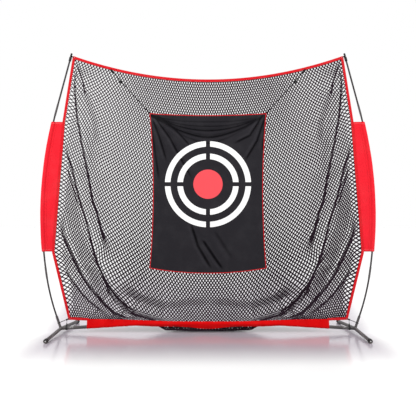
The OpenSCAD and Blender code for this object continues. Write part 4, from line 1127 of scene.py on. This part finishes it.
def cloth(name, dark, light, pitch=0.0011, seams=(), dusty=0.04, gloss=0.1):
    """Woven cloth from its two colours. seams gives the heights of its rows of stitches on the cut."""
    material, tree, skin = shader(name, Roughness=0.7, Specular_IOR_Level=gloss, Sheen_Weight=0.03)
    cut = spot(tree, uv=True)
    weave = use(tree, woven, {"Cut": cut, "Pitch": pitch})
    dirt = use(tree, dust, {"Place": spot(tree), "Amount": dusty})["Mask"]
    wave = noise(tree, spot(tree), 7.0, 3.0)
    mixed = calc(tree, "MULTIPLY_ADD", weave["Height"], 0.35, calc(tree, "MULTIPLY", wave, 0.65))
    shade = tint(tree, mixed, dark, light)
    shade = tint(tree, calc(tree, "MULTIPLY", weave["Yarn"], 0.3), shade, light)
    height = weave["Height"]
    if seams:
        place = put(tree, "SeparateXYZ", {0: cut}).outputs
        dash = stitches(tree, place[0], seam_stitch)
        rows = 0.0
        for middle in seams:
            near = blur_step(tree, how_far(tree, place[1], middle), 0.0013, 0.0006)
            rows = calc(tree, "MAXIMUM", rows, calc(tree, "MULTIPLY", near, dash))
        shade = tint(tree, rows, shade, tint(tree, 0.5, light, (0.9, 0.5, 0.5, 1)))
        height = calc(tree, "MULTIPLY_ADD", rows, 3.0, height)
    tree.links.new(tint(tree, dirt, shade, (0.5, 0.45, 0.42, 1)), skin.inputs["Base Color"])
    crease = noise(tree, spot(tree), 55.0, 3.0, 0.55)
    bump(tree, skin, calc(tree, "MULTIPLY_ADD", crease, 4.0, height), 0.0003)
    return material


def thin_sheet(name, points, cut, thickness):
    """A grid of points as a sheet of cloth with its thickness, and its cut in metres as UV."""
    rows, columns = points.shape[:2]
    corners = [j * columns + i for j in range(rows - 1) for i in range(columns - 1)]
    faces = [(a, a + 1, a + columns + 1, a + columns) for a in corners]
    flat = cut.reshape(-1, 2)
    piece = sewn_mesh(name, points.reshape(-1, 3), faces, flat[faces])
    pick(piece)
    wall = piece.modifiers.new("thickness", "SOLIDIFY")
    wall.thickness = thickness
    wall.offset = 0
    bpy.ops.object.modifier_apply(modifier=wall.name)
    piece.data.polygons.foreach_set("use_smooth", [True] * len(piece.data.polygons))
    return piece


def ripple(a, b, seed):
    """Gentle uneven waves from -1 to 1 over two directions."""
    return (np.sin(a + 1.7 * np.sin(0.6 * b + seed)) + 0.6 * np.sin(2.3 * a - 1.1 * b + 2 * seed)
            + 0.4 * np.sin(0.7 * a + 2.9 * b + 3 * seed)) / 2


flap_span = flap_high_z - flap_low_z
heights = np.concatenate([
    np.linspace(hem, 0, 5), np.linspace(0, flap_span, 150)[1:],
    np.linspace(flap_span, flap_span - hem, 5)[1:]])
turned = np.concatenate([np.ones(4), [0.4], np.zeros(148), [0.4], np.ones(4)])
panel_steps, wrap_steps, lap_steps = 14, 36, 5
crease_out, crease_down, sleeve_ripple = 0.0026, 0.002, 0.0007
inner_gap, seam_gap = 0.0022, 0.0015
inner_y, seam_y, hem_t = 0.0022, 0.0006, 0.0012


def flap_crease(share, t, side):
    """How far the flap's creases stand out, at a share of its height and of its width."""
    return ripple(9 * share * math.pi + 2 * t, 5 * t, 1.3 * side) * math.sin(math.pi * t)


for side, hand in ((-1, "left"), (1, "right")):
    rows, cuts = [], []
    for height, inside in zip(heights, turned):
        z = flap_low_z + height
        share = height / flap_span
        pole_x = pole_point(pole_reach(z))[0]
        inner_x = lerp(flap_low_x, flap_high_x, share) + inner_gap
        tuck = hem_t * inside
        quiet = math.sin(math.pi * min(1, max(0, share))) ** 0.5
        row, cut = [], []
        seam_x = pole_x - sleeve_r - seam_gap
        for k in range(panel_steps + 1):
            t = k / panel_steps
            x = lerp(inner_x, seam_x, t)
            crease = flap_crease(share, t, side)
            y = inner_y * (1 - t) + seam_y + crease_out * crease * quiet + tuck
            row.append((x, y, z - crease_down * crease * t))
            cut.append((x - inner_x, height))
        for k in range(1, wrap_steps):
            a = 2 * math.pi * k / wrap_steps
            r = sleeve_r - tuck + sleeve_ripple * ripple(5 * a / 2, 26 * share, side)
            row.append((pole_x - r * math.cos(a), r * math.sin(a), z))
            cut.append((seam_x - inner_x + sleeve_r * a, height))
        around = seam_x - inner_x + 2 * math.pi * sleeve_r
        for k in range(lap_steps + 1):
            t = k / lap_steps
            x = seam_x - seam_lap * t
            base = np.interp(x, [inner_x, seam_x], [inner_y, seam_y])
            panel_t = (x - inner_x) / (seam_x - inner_x)
            crease = flap_crease(share, panel_t, side)
            y = base + crease_out * crease * quiet + tuck - hem_t
            row.append((x, y, z - crease_down * crease * panel_t))
            cut.append((around + seam_lap * t, height))
        rows.append([(side * x, y, z) for x, y, z in row])
        cuts.append(cut)
    rows, cuts = np.array(rows), np.array(cuts)
    flap = thin_sheet(hand + "_flap", rows[:, ::side], cuts[:, ::side], cloth_t)
    flap_cloth = cloth(hand + " flap red oxford cloth", (0.66, 0.006, 0.016, 1), (0.86, 0.014, 0.030, 1),
                       seams=(hem_row, flap_span - hem_row))
    flap.data.materials.append(flap_cloth)
    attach(flap, "frame")
    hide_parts(hand + "_side_flap")


# ---- Bottom band ---------------------------------------------------------------------------
# A strip of thin red cloth folded round the crossbar. The net's hem is sewn in along its
# top, its lower edge hangs slack, and it is wrinkled where it is drawn along the tube.

center_half, center_z = 0.535, 0.0665
bar_fall = math.tan(math.radians(3.54906))
band_droop, band_middle_z = 0.026, 0.0835
band_slack, band_edge_r, band_t = 0.0013, 0.0018, 0.0008
band_top_in, band_hem_in = 0.0022, 0.003
broad_wrinkle, fine_wrinkle, least_wrinkle = 0.0009, 0.0005, -0.0006


def bar_z(x):
    return center_z - max(0.0, abs(x) - center_half) * bar_fall


def band_top(x):
    return band_middle_z + float(band_rise(abs(x)))


def band_hem(x):
    out = abs(x) / center_half
    return bar_z(x) - tube_r - 0.002 - band_droop * (
        0.3 * float(ease((1.12 - out) / 0.37)) + 0.7 * math.exp(-(4.1 * out) ** 2))


band_stations = np.linspace(-band_half, band_half, 260)
band_sides = 40
rows, cuts = [], []
for x in band_stations:
    row, cut, run = [], [], 0.0
    rounds = ((bar_z(x), tube_r + band_slack), (band_top(x) - band_top_in, band_edge_r),
              (band_hem(x) + band_hem_in, band_edge_r))
    for k in range(band_sides + 1):
        a = 2 * math.pi * k / band_sides
        middle_z, r = max(rounds, key=lambda c: c[0] * math.cos(a) + c[1])
        wrinkle = broad_wrinkle * float(ripple(x * 55 + 2 * math.cos(a), 3 * a, 0.7))
        wrinkle += fine_wrinkle * float(ripple(x * 170, 2 * a, 2.1))
        r += max(least_wrinkle, wrinkle)
        p = (x, r * math.sin(a), middle_z + r * math.cos(a))
        run += math.dist(p, row[-1]) if row else 0.0
        row.append(p)
        cut.append((run, x + band_half))
    rows.append(row)
    cuts.append(cut)
rows, cuts = np.array(rows), np.array(cuts)
band = thin_sheet("bottom_band_cloth", rows, cuts, band_t)
band_cloth = cloth("red band cloth", (0.50, 0.0005, 0.001, 1), (0.78, 0.001, 0.002, 1),
                   pitch=0.0009, dusty=0.02, gloss=0.04)
band.data.materials.append(band_cloth)
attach(band, "frame")
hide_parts("bottom_band")


# ---- Target straps --------------------------------------------------------------------------
# Black webbing folded round each ring's upper bar, with both ends sewn to the top
# webbing by a row of stitches near each edge.

black_tape = webbing("black polyester webbing", (0.003, 0.003, 0.004, 1), (0.012, 0.012, 0.014, 1),
                     (0.04, 0.04, 0.042, 1), rows=(0.14, 0.86), dusty=0.05)
strap_w = 0.0158
strap_t = 0.0014
swing = Vector((0.715122, hang_y, 1.974495))
hang_dir = Vector((-0.66571, 0, -0.74621))


def flat_tape(name, line, across, width, thickness):
    """A flat tape along a line and as wide as across. Its UV is 0 to 1 across, and metres along."""
    line = [Vector(p) for p in line]
    across = Vector(across).normalized()
    last = len(line) - 1
    ring = ((-0.5, -0.35), (-0.46, -0.5), (0, -0.5), (0.46, -0.5), (0.5, -0.35),
            (0.5, 0.35), (0.46, 0.5), (0, 0.5), (-0.46, 0.5), (-0.5, 0.35))
    n = len(ring)
    points = []
    for k, p in enumerate(line):
        ahead = (line[min(k + 1, last)] - line[max(k - 1, 0)]).normalized()
        normal = ahead.cross(across)
        points += [p + across * width * a + normal * thickness * b for a, b in ring]
    run = run_of(line)
    faces = wrap_faces(len(line), n) + [list(range(n - 1, -1, -1)), [last * n + s for s in range(n)]]
    uv = wrap_cut([(a + 0.5, b + 0.5) for a, b in sides_of(ring, 0)], run)
    uv += [(a + 0.5, 0) for a, _ in ring[::-1]] + [(a + 0.5, run[-1]) for a, _ in ring]
    piece = sewn_mesh(name, points, faces, uv)
    pick(piece)
    on_all_of_it(bpy.ops.mesh.normals_make_consistent, inside=False)
    return piece


ring_bar = swing - hang_dir * 0.015
up_strap = -hang_dir
ring_wire_r, strap_play = 0.0022, 0.0002
wrap_r = ring_wire_r + strap_play + strap_t / 2
layer = 0.00078
sewn = np.linspace(0.008, 0.043, 14)
turn_up, turn_out = 0.005, 0.0018
for side, hand in ((-1, "left"), (1, "right")):
    line = [ring_bar + up_strap * d + Vector((0, -layer, 0)) for d in sewn[::-1]]
    line.append(ring_bar + up_strap * turn_up + Vector((0, -turn_out, 0)))
    for k in range(13):
        a = math.radians(-60 - 240 * k / 12)
        line.append(ring_bar + wrap_r * (math.cos(a) * up_strap + math.sin(a) * Vector((0, 1, 0))))
    line.append(ring_bar + up_strap * turn_up + Vector((0, turn_out, 0)))
    line += [ring_bar + up_strap * d + Vector((0, layer, 0)) for d in sewn]
    across = Vector((side * -up_strap.z, 0, up_strap.x))
    strap = flat_tape(hand + "_target_strap", on_side(line, side), across, strap_w, strap_t)
    strap.data.materials.append(black_tape)
    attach(strap, "frame")
    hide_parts("target_straps")


# ---- The target ------------------------------------------------------------------------------
# Thin black polyester cloth with a printed bullseye, hung by its top corners. Swags drop
# between the corners, creases fan out from them, and two long creases slant across its
# foot. The rings and the disc are matt ink on the cloth. Painted shade darkens the creases, and painted
# highlight lightens beside them.

target_w, target_h = 0.894, 1.185
target_top, target_low = 1.67395, 0.48895
target_waist = 0.026
target_top_sag, target_low_sag = 0.015, 0.040
edge_w, edge_lap = 0.007, 0.004
bull_z, disc_r = 1.1317, 0.1122
inner_ring, outer_ring = (0.1917, 0.2344), (0.2871, 0.3291)
ring_break, ink_edge = 0.016, 0.0004


def target_xz(u, v, inset=0.0):
    """A point of the target's outline and inside, for u from -1 to 1 across and v from 0 to 1 down."""
    w = target_w / 2 - inset - target_waist * 4 * v * (1 - v)
    top = target_top - inset - target_top_sag * (1 - u * u)
    low = target_low + inset - target_low_sag * (1 - u * u)
    return u * w, lerp(top, low, v)


def swag(low, power):
    """The line of a swag from corner to corner, lowest at the middle."""
    end_x, end_z, points = 0.44, 1.66, 25
    return [(x, low + (end_z - low) * abs(x / end_x) ** power) for x in np.linspace(-end_x, end_x, points)]


target_creases = (
    (swag(1.607, 2.6), 0.0035, 0.008), (swag(1.573, 2.2), 0.0045, 0.008), (swag(1.540, 1.9), 0.0085, 0.009),
    (swag(1.488, 1.65), 0.0095, 0.010), (swag(1.445, 1.5), 0.0035, 0.011),
    (((-0.428, 1.646), (-0.365, 1.472), (-0.312, 1.298)), 0.0065, 0.010),
    (((-0.408, 1.644), (-0.290, 1.483), (-0.194, 1.300), (-0.119, 1.172)), 0.0085, 0.009),
    (((-0.376, 1.648), (-0.269, 1.568), (-0.119, 1.408)), 0.0060, 0.009),
    (((-0.436, 1.600), (-0.372, 1.150)), 0.0045, 0.011),
    (((0.414, 1.652), (0.320, 1.504), (0.191, 1.440)), 0.0060, 0.009),
    (((0.432, 1.632), (0.373, 1.461), (0.277, 1.300)), 0.0065, 0.010),
    (((0.437, 1.579), (0.414, 1.377)), 0.0045, 0.011),
    (((-0.121, 0.805), (-0.075, 0.660), (0.030, 0.480)), -0.0090, 0.011),
    (((-0.028, 0.690), (0.045, 0.580), (0.115, 0.480)), -0.0090, 0.011),
    (((0.060, 0.760), (0.190, 0.560)), -0.0025, 0.016),
)


def target_y(x, z, u, v):
    """How far the cloth stands out of its plane."""
    hold = ease((1 - abs(u)) * 10) * ease(v * 14) * ease((1 - v) * 14)
    y = 0.0022 * np.sin(7 * x + 1.0) * np.sin(5 * z)
    for line, depth, width in target_creases:
        off, along, _, _ = beside(line, x, z)
        fade = ease(along * 5 + 0.6) * ease((1 - along) * 4 + 0.1)
        y = y + depth * fade * (off / width) * np.exp(0.5 - 0.5 * (off / width) ** 2)
        y = y - 0.35 * abs(depth) * fade * np.exp(-(off / (2.4 * width)) ** 2)
    return hold * y


target_across, target_down = 180, 240
inset = edge_w - edge_lap
u, v = np.meshgrid(np.linspace(-1, 1, target_across + 1), np.linspace(0, 1, target_down + 1))
x, z = target_xz(u, v, inset)
y = hang_y + target_y(x, z, u, v)
points = np.stack([x, y, z], axis=-1)
cuts = np.stack([(u + 1) / 2 * target_w, v * target_h], axis=-1)
target = thin_sheet("target_sheet", points, cuts, cloth_t)


def painted_crease_shade(x, z):
    """The painted shade and highlight of the cloth by its creases: 0, darkest, in a valley, 0.5 where it is
    flat, up to 1, lightest, beside it.
    """
    shade = np.full(x.shape, 0.5)
    for line, depth, width in target_creases:
        off, along, _, _ = beside(line, x, z)
        fade = ease(along * 5 + 0.6) * ease((1 - along) * 4 + 0.1) * min(1, abs(depth) / 0.009)
        shade = shade - fade * np.exp(-(off / (0.7 * width)) ** 2)
        shade = shade + 0.3 * fade * np.exp(-((off + 2 * width) / width) ** 2)
    return np.clip(shade, 0, 1)


# Each corner of the cut carries the painted crease shade in its u, for the material to darken the valleys
# and lighten beside them.
places = np.empty(3 * len(target.data.vertices), np.float32)
target.data.vertices.foreach_get("co", places)
level = painted_crease_shade(places[0::3], places[2::3])
knot = np.empty(len(target.data.loops), np.int32)
target.data.loops.foreach_get("vertex_index", knot)
painted_shade_uv = np.stack([level[knot], 0 * level[knot]], axis=1)
painted_shade_layer = target.data.uv_layers.new(name="Creases")
painted_shade_layer.data.foreach_set("uv", painted_shade_uv.ravel().astype(np.float32))

printed, tree, skin = shader("black cloth with a printed bullseye")
here = put(tree, "SeparateXYZ", {0: spot(tree)}).outputs
right = here[0]
above = calc(tree, "SUBTRACT", here[2], bull_z)
radius = calc(tree, "ADD", calc(tree, "MULTIPLY", right, right), calc(tree, "MULTIPLY", above, above))
radius = calc(tree, "SQRT", radius)
frayed = calc(tree, "MULTIPLY_ADD", noise(tree, spot(tree), 900.0, 1.0), 0.0008, radius)


def between(low, high):
    """1 on a printed ring between two radii, and 0 off it."""
    return calc(tree, "MULTIPLY", blur_step(tree, frayed, low - ink_edge, low + ink_edge),
                blur_step(tree, frayed, high + ink_edge, high - ink_edge))


rings = calc(tree, "ADD", between(*outer_ring), between(*inner_ring))
for distance in (right, above):
    off = calc(tree, "ABSOLUTE", distance)
    rings = calc(tree, "MULTIPLY", rings, blur_step(tree, off, ring_break - ink_edge, ring_break + ink_edge))
disc = blur_step(tree, frayed, disc_r + ink_edge, disc_r - ink_edge)
weave = use(tree, woven, {"Cut": spot(tree, uv=True), "Pitch": 0.0009})
wave = noise(tree, spot(tree), 5.0, 3.0)
# Painted shade and highlight: the black cloth is coloured darker in the crease valleys and lighter beside
# them from the painted crease-shade map, and its specular and sheen are turned down in the valleys by the
# same map.
painted_shade_map = put(tree, "UVMap", uv_map="Creases")
crease = put(tree, "SeparateXYZ", {0: painted_shade_map.outputs[0]}).outputs[0]
tree.links.new(calc(tree, "MULTIPLY", crease, 0.24), skin.inputs["Specular IOR Level"])
tree.links.new(calc(tree, "MULTIPLY", crease, 0.1), skin.inputs["Sheen Weight"])
black = tint(tree, crease, (0.0002, 0.0002, 0.0003, 1), (0.0210, 0.0185, 0.0250, 1))
black = tint(tree, calc(tree, "MULTIPLY", wave, 0.12), black, (0.0150, 0.0135, 0.0185, 1))
black = tint(tree, calc(tree, "MULTIPLY", weave["Height"], 0.5), black, (0.018, 0.017, 0.021, 1))
grime = use(tree, dust, {"Place": spot(tree), "Amount": 0.05})["Mask"]
black = tint(tree, grime, black, (0.25, 0.24, 0.25, 1))
ink_wear = calc(tree, "MULTIPLY", weave["Height"], 0.06)
white = tint(tree, ink_wear, (0.94, 0.94, 0.93, 1), (0.6, 0.6, 0.6, 1))
# The red disc gets the same painted crease shade and highlight.
red = tint(tree, crease, (0.72, 0.055, 0.068, 1), (0.92, 0.098, 0.115, 1))
red = tint(tree, ink_wear, red, (0.6, 0.04, 0.05, 1))
shade = tint(tree, disc, tint(tree, rings, black, white), red)
tree.links.new(shade, skin.inputs["Base Color"])
inked = calc(tree, "ADD", rings, disc)
vary_roughness(tree, skin, inked, 0.72, 0.5)
fine = noise(tree, spot(tree), 40.0, 3.0)
bump(tree, skin, calc(tree, "MULTIPLY_ADD", fine, 3.0, weave["Height"]), 0.0003)
target.data.materials.append(printed)
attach(target, "target")
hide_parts("target_cloth")


# ---- The target's edge and tabs ---------------------------------------------------------------
# A narrow red tape is folded over the target's edge all round, and a short black tab
# with a sewn eye stands out of each top corner for the elastic cord.

rim_t, rim_leaf = 0.0028, 0.0008
rim_tape = webbing("narrow red edge tape", (0.42, 0.003, 0.008, 1), (0.68, 0.008, 0.018, 1),
                   (0.70, 0.03, 0.04, 1), rows=(0.62, 1.4))
rim_ring = fold_outline(edge_w, rim_t, rim_leaf)
corners = [(-1, 0, 1, 0), (1, 0, 1, 1), (1, 1, -1, 1), (-1, 1, -1, 0)]
rim_line = []
for u0, v0, u1, v1 in corners:
    count = 150 if v0 == v1 else 200
    for k in range(count):
        t = k / count
        rim_line.append(target_xz(lerp(u0, u1, t), lerp(v0, v1, t)))
rim_line = np.array(rim_line)
ahead = np.roll(rim_line, -1, axis=0) - rim_line
ahead /= np.linalg.norm(ahead, axis=1)[:, None]
behind = np.roll(ahead, 1, axis=0)
right_of = np.stack([ahead[:, 1], -ahead[:, 0]], axis=1)
right_before = np.stack([behind[:, 1], -behind[:, 0]], axis=1)
mitre = right_of + right_before
mitre /= (mitre * right_of).sum(axis=1)[:, None]
run = run_of([*rim_line, rim_line[0]])
points = []
for k, p in enumerate(rim_line):
    for across, depth, _ in rim_ring:
        x, z = p + mitre[k] * (across + edge_w / 2)
        points.append((x, hang_y + depth + 0.0004 * math.sin(run[k] * 47), z))
faces = wrap_faces(len(rim_line), len(rim_ring), closed=True)
uv = wrap_cut(sides_of(rim_ring, 2), run)
rim = sewn_mesh("target_edge_tape", points, faces, uv)
rim.data.materials.append(rim_tape)
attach(rim, "target")
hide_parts("target_binding")

tab_eye = Vector((0.455654, hang_y, 1.68365))
tab_reach, tab_half, tab_end_r, eye_r = 0.017, 0.0052, 0.006, 0.0027
tab_steps = 56
sideways = Vector((-hang_dir.z, 0, hang_dir.x))
for side, hand in ((-1, "left"), (1, "right")):
    points = []
    for k in range(tab_steps):
        a = 2 * math.pi * k / tab_steps
        direction = math.cos(a) * hang_dir + math.sin(a) * sideways
        edge_r = tab_end_r
        if math.cos(a) > 0:
            edge_r = min(tab_half / max(1e-6, abs(math.sin(a))), tab_reach / math.cos(a))
        front = ((eye_r, -0.0006), (eye_r + 0.0004, -0.0011), (eye_r + 0.0016, -0.0013),
                 (edge_r - 0.0005, -0.0010), (edge_r, -0.0006))
        back = [(radius, -depth) for radius, depth in front[::-1]]
        for radius, depth in (*front, *back):
            points.append(tab_eye + direction * radius + Vector((0, depth, 0)))
    faces = wrap_faces(tab_steps, 10, closed=True)
    uv = [(0.4 + 50 * (points[i] - tab_eye).dot(sideways), (points[i] - tab_eye).dot(hang_dir))
          for face in faces for i in face]
    tab = sewn_mesh(hand + "_corner_tab", on_side(points, side), faces, uv)
    pick(tab)
    on_all_of_it(bpy.ops.mesh.normals_make_consistent, inside=False)
    tab.data.materials.append(black_tape)
    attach(tab, "target")
    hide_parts("target_tabs")
